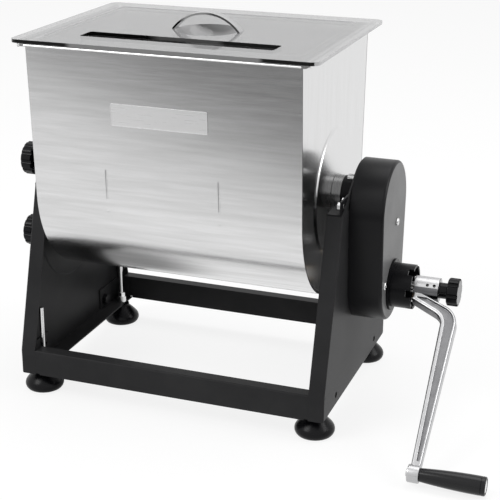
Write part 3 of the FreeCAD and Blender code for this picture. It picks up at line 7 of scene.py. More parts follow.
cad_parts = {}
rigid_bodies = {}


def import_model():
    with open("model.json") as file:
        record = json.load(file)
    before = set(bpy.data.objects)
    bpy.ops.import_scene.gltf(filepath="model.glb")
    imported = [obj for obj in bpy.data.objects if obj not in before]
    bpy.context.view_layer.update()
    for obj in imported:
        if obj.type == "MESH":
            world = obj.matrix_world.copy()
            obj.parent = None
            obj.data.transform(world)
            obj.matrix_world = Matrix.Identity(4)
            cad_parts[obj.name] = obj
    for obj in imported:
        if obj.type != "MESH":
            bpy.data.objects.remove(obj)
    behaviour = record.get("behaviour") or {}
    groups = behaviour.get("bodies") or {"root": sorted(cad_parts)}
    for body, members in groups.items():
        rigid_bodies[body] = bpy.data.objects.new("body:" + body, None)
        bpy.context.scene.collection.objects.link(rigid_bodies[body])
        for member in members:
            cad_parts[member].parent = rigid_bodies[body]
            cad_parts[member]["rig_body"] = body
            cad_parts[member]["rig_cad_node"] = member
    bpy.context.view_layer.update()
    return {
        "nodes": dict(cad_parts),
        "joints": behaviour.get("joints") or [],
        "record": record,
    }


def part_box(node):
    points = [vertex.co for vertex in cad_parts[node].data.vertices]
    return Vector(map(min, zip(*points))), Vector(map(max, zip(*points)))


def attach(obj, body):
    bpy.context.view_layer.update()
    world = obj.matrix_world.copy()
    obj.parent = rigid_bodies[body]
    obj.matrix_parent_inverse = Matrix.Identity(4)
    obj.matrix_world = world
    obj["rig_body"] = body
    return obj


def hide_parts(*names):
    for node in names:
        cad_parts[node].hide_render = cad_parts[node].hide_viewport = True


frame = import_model()

# Sizes in metres and a lean that the frame does not give
mm = 0.001
X, Y, Z = 0, 1, 2
steel_sheet = 1.5 * mm
black_sheet = 2.0 * mm
clearance = 0.05 * mm
sheet_edge = 0.3 * mm
trough_radius = 123.5 * mm
wall_top_half = 132.0 * mm
hem_drop = 3.5 * mm
hem_round = 3.2 * mm
inner_round = 1.2 * mm
mark_radius = 1.5 * mm
mark_z = 280.0 * mm
mark_dot_z = 247.0 * mm
end_disc_radius = 79.0 * mm
journal_radius = 15.0 * mm
flange_width = 19.0 * mm
foot_flange_width = 24.0 * mm
bar_lip = 16.0 * mm
lid_border = 24.0 * mm
lid_sheet = 4.0 * mm
lid_step = 0.8 * mm
slot_half = 118.0 * mm
slot_half_width = 14.7 * mm
slot_y = -73.5 * mm
dish_radius = 38.5 * mm
dish_depth = 17.5 * mm
handle_half = 7.0 * mm
handle_rise = 21.5 * mm
handle_sheet = 2.6 * mm
crank_lean = math.radians(53.5)
crank_reach = 236.0 * mm


# Places read from the frame
def low(node):
    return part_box(node)[0]


def high(node):
    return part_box(node)[1]


def middle(node, axis):
    return (low(node)[axis] + high(node)[axis]) / 2


def half_size(node, axis):
    return (high(node)[axis] - low(node)[axis]) / 2


joint_places = {joint["name"]: Vector(joint["pos_m"]) for joint in frame["joints"] if "pos_m" in joint}
shaft_z = joint_places["tank_tilt"].z
crank_z = joint_places["crank_turn"].z
tank_left = low("tank_trough").x
tank_right = high("tank_trough").x
tank_middle = middle("tank_trough", X)
rim_z = high("tank_trough").z
hem_half = high("tank_trough").y
web_outer = high("side_plate_right").x
web_inner = web_outer - black_sheet
stand_bottom = low("side_plate_right").z
stand_half = high("side_plate_right").y
lid_top = rim_z + lid_sheet
flare_reach = math.hypot(wall_top_half, rim_z - shaft_z)
wall_lean = math.atan2(rim_z - shaft_z, wall_top_half) - math.acos(trough_radius / flare_reach)
lean_tan = math.tan(-wall_lean)


# Drawing and shaping

def put_down():
    """Selects nothing, since new pieces join what is selected."""
    bpy.ops.object.select_all(action="DESELECT")


def pick_up(*pieces):
    """Selects only these pieces and makes the first one active."""
    put_down()
    for piece in pieces:
        piece.select_set(True)
    bpy.context.view_layer.objects.active = pieces[0]


def settle():
    """Puts the place, turn and scale of the selected piece into its mesh."""
    bpy.ops.object.transform_apply(location=True, rotation=True, scale=True)


def named(name):
    """Names and settles the piece that was just added."""
    piece = bpy.context.object
    piece.name = name
    piece.data.name = name
    settle()
    return piece


def edit():
    bpy.ops.object.mode_set(mode="EDIT")


def done():
    bpy.ops.object.mode_set(mode="OBJECT")


def pencil(name, start):
    """A new piece in edit mode with a single vertex at start."""
    put_down()
    bpy.ops.mesh.primitive_plane_add(size=mm, location=start)
    piece = named(name)
    edit()
    select_all()
    bpy.ops.mesh.merge(type="CENTER")
    return piece


def draw(move):
    """Pulls what is selected by a vector and leaves its trail."""
    bpy.ops.mesh.extrude_region_move(TRANSFORM_OT_translate={"value": tuple(move)})


def draw_through(points):
    """Draws straight lines through a list of points, starting at the first."""
    for here, there in zip(points[:-1], points[1:]):
        draw(Vector(there) - Vector(here))


def draw_round(turn, centre, axis, steps):
    """Draws along an arc about an axis, by the right-hand rule."""
    bpy.ops.mesh.spin(steps=steps, dupli=False, angle=-turn, center=tuple(centre), axis=tuple(axis))


def widen(factor, centre):
    bpy.ops.transform.resize(value=factor, center_override=tuple(centre))


def draw_rings(centre, axis, radius, rings):
    """Draws a selected circle on through a list of (radius, height along the axis)."""
    height = 0.0
    for new_radius, new_height in rings:
        draw([part * (new_height - height) for part in axis])
        widen([1 if part else new_radius / radius for part in axis], centre)
        radius, height = new_radius, new_height


def at(here, there):
    """Whether two numbers are the same place along an axis."""
    return abs(here - there) < mm / 10


def on_circle(centre, radius):
    """Test for the points of a circle about a centre."""
    return lambda p: abs((p - centre).length - radius) < mm / 20


def select_all():
    bpy.ops.mesh.select_mode(type="VERT")
    bpy.ops.mesh.select_all(action="SELECT")


def choose(kind, test, along=None):
    """Selects what passes the test, in edit mode: vertices by their place, faces by middle and normal.

    An edge passes with both its ends, and with along given only if these lie apart on that axis.
    """
    piece = bpy.context.object
    bpy.ops.mesh.select_all(action="DESELECT")
    bpy.ops.mesh.select_mode(type=kind)
    done()
    mesh = piece.data
    if kind == "VERT":
        for vertex in mesh.vertices:
            vertex.select = test(vertex.co)
    elif kind == "EDGE":
        for line in mesh.edges:
            a, b = (mesh.vertices[i].co for i in line.vertices)
            line.select = test(a) and test(b) and (along is None or not at(a[along], b[along]))
    else:
        for face in mesh.polygons:
            face.select = test(face.center, face.normal)
    edit()


def weld(gap=0.01 * mm):
    select_all()
    bpy.ops.mesh.remove_doubles(threshold=gap)


def close_skin():
    """Merges doubles, turns every face outwards and ends editing."""
    weld()
    bpy.ops.mesh.normals_make_consistent(inside=False)
    done()


def facing(piece, direction):
    """Turns an open sheet so that most of its faces look towards a direction."""
    total = sum((face.normal * face.area for face in piece.data.polygons), Vector())
    if total.dot(Vector(direction)) < 0:
        pick_up(piece)
        edit()
        select_all()
        bpy.ops.mesh.flip_normals()
        done()


def thicken(piece, thickness, outside):
    """Turns a sheet's faces to its outside and gives it a wall behind them."""
    facing(piece, outside)
    modify(piece, "SOLIDIFY", thickness=thickness, offset=-1.0, use_even_offset=True)


def modify(piece, kind, **settings):
    """Adds a modifier to the piece and applies it."""
    pick_up(piece)
    modifier = piece.modifiers.new(kind.lower(), kind)
    for key, value in settings.items():
        setattr(modifier, key, value)
    bpy.ops.object.modifier_apply(modifier=modifier.name)


def soften(piece, width, angle=35, segments=2):
    """Rounds the edges sharper than an angle and shades the piece smooth."""
    modify(piece, "BEVEL", width=width, segments=segments, limit_method="ANGLE",
           angle_limit=math.radians(angle), use_clamp_overlap=True)
    smooth(piece)


def smooth(piece, angle=40):
    pick_up(piece)
    bpy.ops.object.shade_smooth_by_angle(angle=math.radians(angle))
    modify(piece, "WEIGHTED_NORMAL", keep_sharp=True)


def join(*pieces):
    pick_up(*pieces)
    bpy.ops.object.join()
    return pieces[0]


def block(name, corner_a, corner_b):
    """A box between two corners, with its place in its mesh."""
    a, b = Vector(corner_a), Vector(corner_b)
    put_down()
    bpy.ops.mesh.primitive_cube_add(size=1, location=(a + b) / 2, scale=b - a)
    return named(name)


def outline(name, corners, radii, steps):
    """A closed line through corners, with a round of its own radius at each."""
    points = [Vector(corner) for corner in corners]
    rounds = []
    for i, here in enumerate(points):
        before, after = points[i - 1], points[(i + 1) % len(points)]
        back, on = (before - here).normalized(), (after - here).normalized()
        half = back.angle(on) / 2
        reach = radii[i] / math.tan(half)
        centre = here + (back + on).normalized() * (radii[i] / math.sin(half))
        rounds.append((here + back * reach, here + on * reach, centre, math.pi - 2 * half, on.cross(back)))
    piece = pencil(name, rounds[0][1])
    here = rounds[0][1]
    for start, end, centre, turn, axis in rounds[1:] + rounds[:1]:
        draw(start - here)
        draw_round(turn, centre, axis.normalized(), steps)
        here = end
    weld()
    done()
    return piece


def lathe(name, profile, axis_point, axis="X", steps=64):
    """A turned solid: profile is a list of (place along the axis, radius)."""
    x, y, z = axis_point
    if axis == "X":
        points = [Vector((along, y, z + radius)) for along, radius in profile]
        direction = (1, 0, 0)
    else:
        points = [Vector((x + radius, y, along)) for along, radius in profile]
        direction = (0, 0, 1)
    piece = pencil(name, points[0])
    draw_through(points)
    select_all()
    draw_round(2 * math.pi, axis_point, direction, steps)
    close_skin()
    return piece


def cut_away(piece, *cutters):
    """Takes closed cutters out of a closed piece and removes them."""
    for cutter in cutters:
        modify(piece, "BOOLEAN", operation="DIFFERENCE", solver="EXACT", object=cutter)
        pick_up(cutter)
        bpy.ops.object.delete()


def turned_about(piece, angle, axis, centre):
    """Turns a piece about an axis through a centre, in its mesh."""
    pick_up(piece)
    edit()
    select_all()
    bpy.ops.transform.rotate(value=angle, orient_axis=axis, center_override=tuple(centre))
    done()


def dressed(node, width):
    """A merged copy of a CAD node with rounded edges, which stands for it."""
    pick_up(frame["nodes"][node])
    bpy.ops.object.duplicate()
    piece = bpy.context.object
    piece.name = node + "_finished"
    piece.data.name = piece.name
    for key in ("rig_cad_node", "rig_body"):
        if key in piece:
            del piece[key]
    bpy.ops.object.parent_clear(type="CLEAR_KEEP_TRANSFORM")
    edit()
    weld(0.002 * mm)
    bpy.ops.mesh.dissolve_limited(angle_limit=math.radians(0.5))
    done()
    soften(piece, width)
    return piece


# Materials

clear_alpha = 0.6


def fill(node, inputs):
    """Gives sockets of a node a number, a colour or the output of another node."""
    for key, value in inputs.items():
        if isinstance(value, bpy.types.NodeSocket):
            node.id_data.links.new(value, node.inputs[key])
        else:
            node.inputs[key].default_value = value
    return node


def add_node(owner, kind, inputs=None, **settings):
    """Adds a node to a material or to the world."""
    node = owner.node_tree.nodes.new("ShaderNode" + kind)
    for key, value in settings.items():
        setattr(node, key, value)
    return fill(node, inputs or {})


def shader_of(material):
    return material.node_tree.nodes["Principled BSDF"]


def new_material(name, colour, roughness, metallic=0.0, coat=0.0, specular=0.5):
    material = bpy.data.materials.new(name)
    material.use_nodes = True
    fill(shader_of(material), {"Base Color": (*colour, 1), "Roughness": roughness, "Metallic": metallic,
                               "Coat Weight": coat, "Specular IOR Level": specular})
    return material


def noise(material, scale, detail=3.0, stretch=(1, 1, 1)):
    """Noise on Object coordinates, stretched by a Mapping node."""
    place = add_node(material, "TexCoord").outputs["Object"]
    stretched = add_node(material, "Mapping", {"Scale": stretch, "Vector": place}).outputs["Vector"]
    settings = {"Scale": scale, "Detail": detail, "Vector": stretched}
    return add_node(material, "TexNoise", settings).outputs["Fac"]


def place_along(material, axis):
    """The Object coordinate along an axis."""
    place = add_node(material, "TexCoord").outputs["Object"]
    return add_node(material, "SeparateXYZ", {"Vector": place}).outputs[axis]


def mapped(owner, value, from_low, from_high, to_low, to_high, **settings):
    """Spreads a value from one range over another."""
    ends = {"From Min": from_low, "From Max": from_high, "To Min": to_low, "To Max": to_high}
    return add_node(owner, "MapRange", {"Value": value, **ends}, **settings).outputs["Result"]


def combined(owner, operation, a, b):
    return add_node(owner, "Math", {0: a, 1: b}, operation=operation).outputs["Value"]


def tinted(material, value, stops):
    """Colours the base by a value: stops is a list of (place, colour)."""
    ramp = add_node(material, "ValToRGB", {"Fac": value})
    elements = ramp.color_ramp.elements
    while len(elements) < len(stops):
        elements.new(0.5)
    for element, (place, colour) in zip(elements, stops):
        element.position = place
        element.color = (*colour, 1)
    fill(shader_of(material), {"Base Color": ramp.outputs["Color"]})


def roughened(material, value, least, most):
    """Varies the roughness with a noise, most of which lies between 0.3 and 0.7."""
    fill(shader_of(material), {"Roughness": mapped(material, value, 0.3, 0.7, least, most)})


def relief(material, value, depth, strength):
    """Adds a bump of a depth in metres."""
    bump = add_node(material, "Bump", {"Distance": depth, "Strength": strength, "Height": value})
    fill(shader_of(material), {"Normal": bump.outputs["Normal"]})


def grey(level, blue=0.0):
    return (level, level, level + blue)


def brushed_steel(name, along, level, roughness, streaks=0.012):
    """Steel sheet with a fine grain along X or Z and faint broad streaks."""
    material = new_material(name, grey(level), roughness, metallic=1.0)

    def grain(scale, detail, squeeze):
        return noise(material, scale, detail, (squeeze, 1, 1) if along == "X" else (1, 1, squeeze))

    fine, broad = grain(1400, 2, 0.02), grain(160, 3, 0.06)
    tinted(material, broad, [(0.3, grey(level - streaks)), (0.7, grey(level + streaks, 0.004))])
    roughened(material, fine, roughness - 0.03, roughness + 0.04)
    relief(material, fine, 0.006 * mm, 0.4)
    return material


def turned_metal(name, level, roughness):
    """Machined metal with fine rings about the shafts."""
    material = new_material(name, grey(level), roughness, metallic=1.0)
    rings = noise(material, 700, 2, (1, 0.03, 0.03))
    roughened(material, rings, roughness - 0.06, roughness + 0.08)
    relief(material, rings, 0.015 * mm, 0.6)
    tinted(material, noise(material, 25), [(0.35, grey(level - 0.05)), (0.65, grey(level + 0.03))])
    return material


def black_coat(name, level, roughness, grain=0.02 * mm, specular=0.2):
    """Stoved black paint or moulded black with a faint orange peel."""
    material = new_material(name, grey(level, 0.001), roughness, specular=specular)
    peel = noise(material, 1100, 2)
    clouds = [(0.35, grey(level * 0.88, 0.001)), (0.65, grey(level * 1.12, 0.001))]
    tinted(material, noise(material, 18), clouds)
    roughened(material, peel, roughness - 0.05, roughness + 0.05)
    relief(material, peel, grain, 0.5)
    return material


steel_front = brushed_steel("trough_steel", "X", 0.7, 0.22, 0.05)
steel_end = brushed_steel("end_plate_steel", "Z", 0.7, 0.2)
# Painted shade: a darker copy of the brushed steel for the tank's inner faces, which lie in shade under the
# lid
steel_painted_inner_shade = brushed_steel("inside_steel_painted_shade", "X", 0.45, 0.35)
steel_bright = turned_metal("turned_steel", 0.66, 0.24)
steel_plated = turned_metal("plated_steel", 0.72, 0.15)
# Painted reflection: the hubs' bright steel gets a dark base that stands for the dark surroundings it
# mirrors
steel_painted_dark_reflection = turned_metal("hub_steel_painted_reflection", 0.22, 0.26)
plate_metal = brushed_steel("nameplate_metal", "X", 0.8, 0.3)
fill(shader_of(plate_metal), {"Metallic": 0.55})
coat_stand = black_coat("stand_coat", 0.027, 0.42, specular=0.09)
coat_cover = black_coat("cover_coat", 0.006, 0.36)
# Painted light: a lighter grey for the cover's outer face, which catches the light from the right; the
# sides keep the near black
painted_light_cover_face = black_coat("cover_face_painted_light", 0.16, 0.42)
coat_fittings = black_coat("fittings_coat", 0.008, 0.36, specular=0.12)
plastic_black = black_coat("moulded_plastic", 0.004, 0.3, specular=0.12)
plastic_knob = black_coat("knob_plastic", 0.004, 0.2, specular=0.16)
# Painted highlight: a grey, glossier copy of the knob's black for its outer face, which mirrors the bright
# right side
knob_face_painted_light = black_coat("knob_face_painted_light", 0.2, 0.3, specular=0.5)
plastic_grip = black_coat("grip_plastic", 0.008, 0.2, specular=0.3)
rubber_black = black_coat("foot_rubber", 0.004, 0.28, 0.03 * mm, specular=0.16)
bronze = turned_metal("sintered_bronze", 0.4, 0.4)
tinted(bronze, noise(bronze, 40), [(0.35, (0.42, 0.27, 0.12)), (0.65, (0.5, 0.34, 0.17))])


def cast_material(name="cast_aluminium", level=0.53):
    """Satin die-cast aluminium, mottled, with a fine skin."""
    material = new_material(name, grey(level, 0.006), 0.34, metallic=1.0)
    mottle = [(0.3, grey(level - 0.05, 0.006)), (0.7, grey(level + 0.02, 0.006))]
    tinted(material, noise(material, 45, 4), mottle)
    relief(material, noise(material, 600), 0.05 * mm, 0.5)
    roughened(material, noise(material, 120), 0.28, 0.42)
    return material


def clear_material(name, level):
    """Clear acrylic sheet that has gone a little milky."""
    material = new_material(name, grey(level, 0.005), 0.08, coat=0.3)
    fill(shader_of(material), {"Alpha": clear_alpha, "IOR": 1.49})
    clouds = [(0.3, grey(level - 0.02, 0.004)), (0.7, grey(level + 0.02, 0.005))]
    tinted(material, noise(material, 14), clouds)
    roughened(material, noise(material, 90), 0.06, 0.13)
    return material


def edge_shade(name, stops):
    """Sawn edge of the clear sheet in painted shade, dark because one looks along the sheet.

    stops is a list of (x in metres, level).
    """
    material = new_material(name, grey(0.1), 0.12, specular=0.2)
    reach = 0.2
    along = mapped(material, place_along(material, "X"), -reach, reach, 0, 1)
    tinted(material, along, [((x + reach) / (2 * reach), grey(level)) for x, level in stops])
    roughened(material, noise(material, 900, 2, (1, 1, 6)), 0.1, 0.2)
    return material


def dish_material():
    """The lid's acrylic, with a painted dark band on the dish's far slope that stands for the dark this
    slope mirrors.
    """
    material = clear_material("dish_acrylic", 0.48)
    shader = shader_of(material)
    # Painted reflection: a dark band on the far slope, strongest at the left, which is also less clear
    far_slope = mapped(material, place_along(material, "Y"), 24 * mm, 31 * mm, 0, 1)
    fading = mapped(material, place_along(material, "X"), -30 * mm, 28 * mm, 0.97, 0.5)
    band = combined(material, "MULTIPLY", far_slope, fading)
    milky = shader.inputs["Base Color"].links[0].from_socket
    light_left = mapped(material, band, 0, 1, 1, 0)
    darker = add_node(material, "VectorMath", {0: milky, "Scale": light_left}, operation="SCALE")
    fill(shader, {"Base Color": darker.outputs["Vector"],
                  "Alpha": mapped(material, band, 0, 1, clear_alpha, 0.95)})
    return material


aluminium = cast_material()
aluminium_groove = cast_material("cast_groove", 0.24)
# Painted shade: a darker copy of the cast aluminium for the underside of the arm's sloped root
painted_shade_aluminium = cast_material("cast_root_painted_shade", 0.16)
acrylic = clear_material("lid_acrylic", 0.47)
# Painted highlight: a lighter copy of the lid acrylic for the handle, whose top catches a light strip
painted_highlight_acrylic = clear_material("lid_handle_painted_highlight", 0.6)
dish_acrylic = dish_material()
lid_edge_shade = edge_shade("lid_edge", [(-0.116, 0.012), (-0.108, 0.24), (0.113, 0.24), (0.119, 0.012)])
slot_shade = edge_shade("slot_edge", [(-0.048, 0.003), (-0.034, 0.12), (0.036, 0.12), (0.045, 0.02)])
handle_shade = edge_shade("handle_edge", [(-0.032, 0.004), (-0.024, 0.4), (0.0, 0.36), (0.01, 0.08)])
seam_shade = black_coat("seam_shade", 0.02, 0.4)


def paint(piece, material):
    piece.data.materials.clear()
    piece.data.materials.append(material)


def second_finish(piece, material, test):
    """Gives the faces that pass the test another material."""
    pick_up(piece)
    piece.data.materials.append(material)
    edit()
    choose("FACE", test)
    piece.active_material_index = len(piece.data.materials) - 1
    bpy.ops.object.material_slot_assign()
    done()


def fit(piece, body, slot, material, *nodes):
    """Gives a finished piece its material and body and hides the nodes that it stands for; slot is not
    used.
    """
    if material:
        paint(piece, material)
    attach(piece, body)
    if nodes:
        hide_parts(*nodes)
    return piece


# Tank

def wall_half(z, radius=trough_radius):
    """Half depth of a wall face at height z."""
    joint_z = shaft_z + radius * math.sin(wall_lean)
    return radius * math.cos(wall_lean) + (z - joint_z) * lean_tan


def draw_wall_line(x, radius, top_z):
    """Draws down the rear wall, round the half round and up the front wall."""
    joint_z = shaft_z + radius * math.sin(wall_lean)
    joint_y = radius * math.cos(wall_lean)
    top_y = wall_half(top_z, radius)
    draw((0, joint_y - top_y, joint_z - top_z))
    draw_round(-(math.pi + 2 * wall_lean), (x, 0, shaft_z), (1, 0, 0), 64)
    draw((0, joint_y - top_y, top_z - joint_z))


def level_mark(x):
    """Cutter of a shallow groove up the front wall."""
    put_down()
    bpy.ops.mesh.primitive_cylinder_add(vertices=32, radius=mark_radius, depth=36 * mm)
    groove = bpy.context.object
    edit()
    choose("FACE", lambda c, n: abs(n.z) > 0.9)
    bpy.ops.mesh.inset(thickness=0.9 * mm)
    done()
    groove.rotation_euler = (-wall_lean, 0, 0)
    groove.location = (x, -wall_half(mark_z) - mark_radius / 2, mark_z)
    settle()
    return groove


def level_dot(x):
    """Flat bead below a level mark."""
    put_down()
    bpy.ops.mesh.primitive_uv_sphere_add(segments=16, ring_count=8, radius=mark_radius, scale=(1, 0.4, 1),
                                         location=(x, -trough_radius * 0.992, mark_dot_z))
    settle()
    return bpy.context.object


def trough():
    """Folded trough in one sheet, with a hem along the top of its front and rear wall."""
    inner = trough_radius - steel_sheet
    wall_top = wall_half(rim_z, inner)
    piece = pencil("trough_shell", (tank_left, hem_half, rim_z - hem_drop))
    draw((0, 0, hem_drop))
    draw((0, wall_top - hem_half, 0))
    draw_wall_line(tank_left, inner, rim_z)
    draw((0, wall_top - hem_half, 0))
    draw((0, 0, -hem_drop))
    select_all()
    draw((tank_right - tank_left, 0, 0))
    for half, radius, steps in ((hem_half, hem_round, 6), (wall_top, inner_round, 3)):
        choose("EDGE", lambda p: at(p.z, rim_z) and at(abs(p.y), half))
        bpy.ops.mesh.bevel(offset=radius, segments=steps, affect="EDGES")
    done()
    thicken(piece, steel_sheet, (0, 0, 1))
    marks = [tank_middle + offset * mm for offset in (-72.3, 67.0)]
    cut_away(piece, *[level_mark(x) for x in marks])
    join(piece, *[level_dot(x) for x in marks])
    soften(piece, sheet_edge, 55)
    paint(piece, steel_front)
    # The inward faces take the darker steel as painted shade
    second_finish(piece, steel_painted_inner_shade,
                  lambda c, n: n.y * c.y + n.z * (c.z - shaft_z) < 0 and c.z < rim_z - 2 * mm)
    second_finish(piece, seam_shade,
                  lambda c, n: n.x > 0.3 and c.x > tank_right - 0.5 * mm and c.z < rim_z - 4 * mm)
    return fit(piece, "tank", "brushed_steel", None, "tank_trough")


def end_plate(side):
    """End of the tank with its raised round disc and the lip under the lid."""
    name = "end_plate_right" if side > 0 else "end_plate_left"
    x = tank_right if side > 0 else tank_left
    radius = trough_radius - steel_sheet - clearance
    top_half = wall_half(rim_z, radius)
    centre = Vector((x, 0, shaft_z))
    piece = pencil(name, (x, top_half, rim_z - mm))
    draw_wall_line(x, radius, rim_z - mm)
    draw((0, 2 * top_half, 0))
    weld()
    bpy.ops.mesh.primitive_circle_add(vertices=96, radius=end_disc_radius, location=centre,
                                      rotation=(0, math.pi / 2, 0))
    select_all()
    bpy.ops.mesh.fill()
    choose("EDGE", on_circle(centre, end_disc_radius))
    rings = [(end_disc_radius - step_in * mm, step_up * mm)
             for step_in, step_up in ((0.8, 0.15), (1.8, 0.8), (2.6, 1.75), (3.6, 2.0))]
    draw_rings(centre, (side, 0, 0), end_disc_radius, rings + [(journal_radius + clearance, rings[-1][1])])
    done()
    thicken(piece, steel_sheet, (side, 0, 0))
    reach = 10 * mm
    lip = block("lip", (min(x, x + side * reach), -hem_half, rim_z - hem_drop),
                (max(x, x + side * reach), hem_half, rim_z))
    edit()
    choose("EDGE", lambda p: at(abs(p.y), hem_half) and at(p.x, x + side * reach))
    bpy.ops.mesh.bevel(offset=6 * mm, segments=6, affect="EDGES")
    choose("FACE", lambda c, n: n.z < -0.9)
    bpy.ops.mesh.inset(thickness=1.3 * mm)
    draw((0, 0, 2.0 * mm))
    done()
    join(piece, lip)
    soften(piece, sheet_edge, 50)
    paint(piece, steel_end)
    # The inward face takes the darker steel as painted shade
    second_finish(piece, steel_painted_inner_shade, lambda c, n: side * n.x < -0.5 and c.z < rim_z - 5 * mm)
    return fit(piece, "tank", "brushed_steel", None, "tank_end_right" if side > 0 else "tank_end_left")


def nameplate():
    """Bare plate on the front wall: thin raised edge round a satin field."""
    half_x, half_z = half_size("nameplate", X), 13.0 * mm
    piece = block("nameplate_bare", (-half_x, -0.8 * mm, -half_z), (half_x, -clearance, half_z))
    edit()
    choose("EDGE", lambda p: True, along=Y)
    bpy.ops.mesh.bevel(offset=1.5 * mm, segments=4, affect="EDGES")
    choose("FACE", lambda c, n: n.y < -0.9)
    bpy.ops.mesh.inset(thickness=0.9 * mm)
    draw((0, 0.25 * mm, 0))
    done()
    piece.rotation_euler = (-wall_lean, 0, 0)
    centre_z = middle("nameplate", Z)
    piece.location = (middle("nameplate", X), -wall_half(centre_z), centre_z)
    settle()
    soften(piece, 0.18 * mm, 30)
    return fit(piece, "tank", "name_plate", plate_metal, "nameplate")


# Lid

def loop(name, centre, half_x, half_y, corner, steps=6):
    """Closed level line of a rectangle with round corners."""
    x, y, z = centre
    corners = [(x + half_x, y - half_y, z), (x + half_x, y + half_y, z),
               (x - half_x, y + half_y, z), (x - half_x, y - half_y, z)]
    return outline(name, corners, [corner] * 4, steps)


def lid_panel():
    """Moulded clear lid: border, hardly sunk middle with a slot, and a round dish below the handle."""
    half_x, half_y = half_size("lid_panel", X), high("lid_panel").y
    centre = Vector((middle("lid_panel", X), 0, lid_top))
    pan_inset = lid_border + 2.5 * mm
    border_line = loop("lid_sheet", centre, half_x, half_y, 10 * mm, 8)
    pan_line = loop("pan_line", centre, half_x - pan_inset, half_y - pan_inset, 9 * mm)
    join(border_line, pan_line)
    edit()
    select_all()
    bpy.ops.mesh.fill()
    choose("EDGE", lambda p: abs(p.x - centre.x) < half_x - lid_border and abs(p.y) < half_y - lid_border)
    inset = pan_inset
    drop = 0.0
    for step_in, step_down in ((0.5, 0.1), (1.1, 0.4), (1.7, 0.7), (2.3, 0.8)):
        draw((0, 0, drop - step_down * mm))
        drop = step_down * mm
        new_inset = pan_inset + step_in * mm
        widen(((half_x - new_inset) / (half_x - inset), (half_y - new_inset) / (half_y - inset), 1), centre)
        inset = new_inset
    done()
    floor_z = lid_top - lid_step
    slot_centre = Vector((tank_middle - 0.5 * mm, slot_y, floor_z))
    slot_line = loop("slot_line", slot_centre, slot_half, slot_half_width, 3 * mm, 3)
    dish_centre = Vector((middle("lid_handle", X), 0, floor_z))
    put_down()
    bpy.ops.mesh.primitive_circle_add(vertices=72, radius=dish_radius, location=dish_centre)
    settle()
    dish_line = bpy.context.object
    join(border_line, slot_line, dish_line)
    edit()
    choose("EDGE", lambda p: at(p.z, floor_z))
    bpy.ops.mesh.fill()
    ball = (dish_radius ** 2 + dish_depth ** 2) / (2 * dish_depth)
    rim_turn = math.asin(dish_radius / ball)
    turns = [rim_turn * (1 - i / 14) for i in range(1, 14)]
    choose("EDGE", on_circle(dish_centre, dish_radius))
    draw_rings(dish_centre, (0, 0, 1), dish_radius,
               [(ball * math.sin(turn), (ball - dish_depth) - ball * math.cos(turn)) for turn in turns])
    bpy.ops.mesh.edge_face_add()
    done()
    thicken(border_line, lid_sheet, (0, 0, 1))
    soften(border_line, 0.7 * mm, 40, 3)
    paint(border_line, acrylic)

    def in_front_edge(c, n):
        return n.y < -0.3 and c.y < 2 * mm - half_y

    def in_right_edge(c, n):
        return n.x > 0.2 and n.z < -0.2 and c.x > centre.x + half_x - 9 * mm

    def in_slot(c, n):
        return (abs(c.x - slot_centre.x) < slot_half + mm and abs(c.y - slot_centre.y) < 17 * mm
                and (n.y < -0.5 or n.x > 0.5))

    # Painted shade on the sheet's front and right edges and on the slot's far walls
    second_finish(border_line, lid_edge_shade, lambda c, n: n.z < 0.5 and c.z < lid_top - 0.8 * mm and (
        in_front_edge(c, n) or in_right_edge(c, n)))
    second_finish(border_line, slot_shade, in_slot)
    # The dish's upper faces carry the painted dark band
    second_finish(border_line, dish_acrylic, lambda c, n: n.z > 0.2 and c.z < floor_z - 0.1 * mm
                  and (c - dish_centre).length < dish_radius + mm)
    return fit(border_line, "lid", "clear_plastic", None, "lid_panel")


def lid_handle():
    """Arched strip that stands across the dish."""
    span = half_size("lid_handle", X)
    foot_z = lid_top - lid_step
    arch = (span ** 2 + handle_rise ** 2) / (2 * handle_rise)
    centre = (middle("lid_handle", X), -handle_half, foot_z + handle_rise - arch)
    piece = pencil("lid_handle_arch", (low("lid_handle").x, -handle_half, foot_z))
    draw_round(2 * math.asin(span / arch), centre, (0, 1, 0), 28)
    select_all()
    draw((0, 2 * handle_half, 0))
    done()
    thicken(piece, handle_sheet, (0, 0, 1))
    soften(piece, 0.6 * mm, 40, 3)
    # The handle's lighter acrylic is a painted highlight; its front face gets painted shade
    paint(piece, painted_highlight_acrylic)
    second_finish(piece, handle_shade, lambda c, n: n.y < -0.5)
    return fit(piece, "lid", "clear_plastic", None, "lid_handle")


# Stand

base_edge_z = 57.0 * mm
neck_half = 80.0 * mm
neck_z = shaft_z - 4.0 * mm
top_round = 53.5 * mm
top_round_z = shaft_z - 12.0 * mm
slant_lean = math.atan2(stand_half - neck_half, neck_z - base_edge_z)


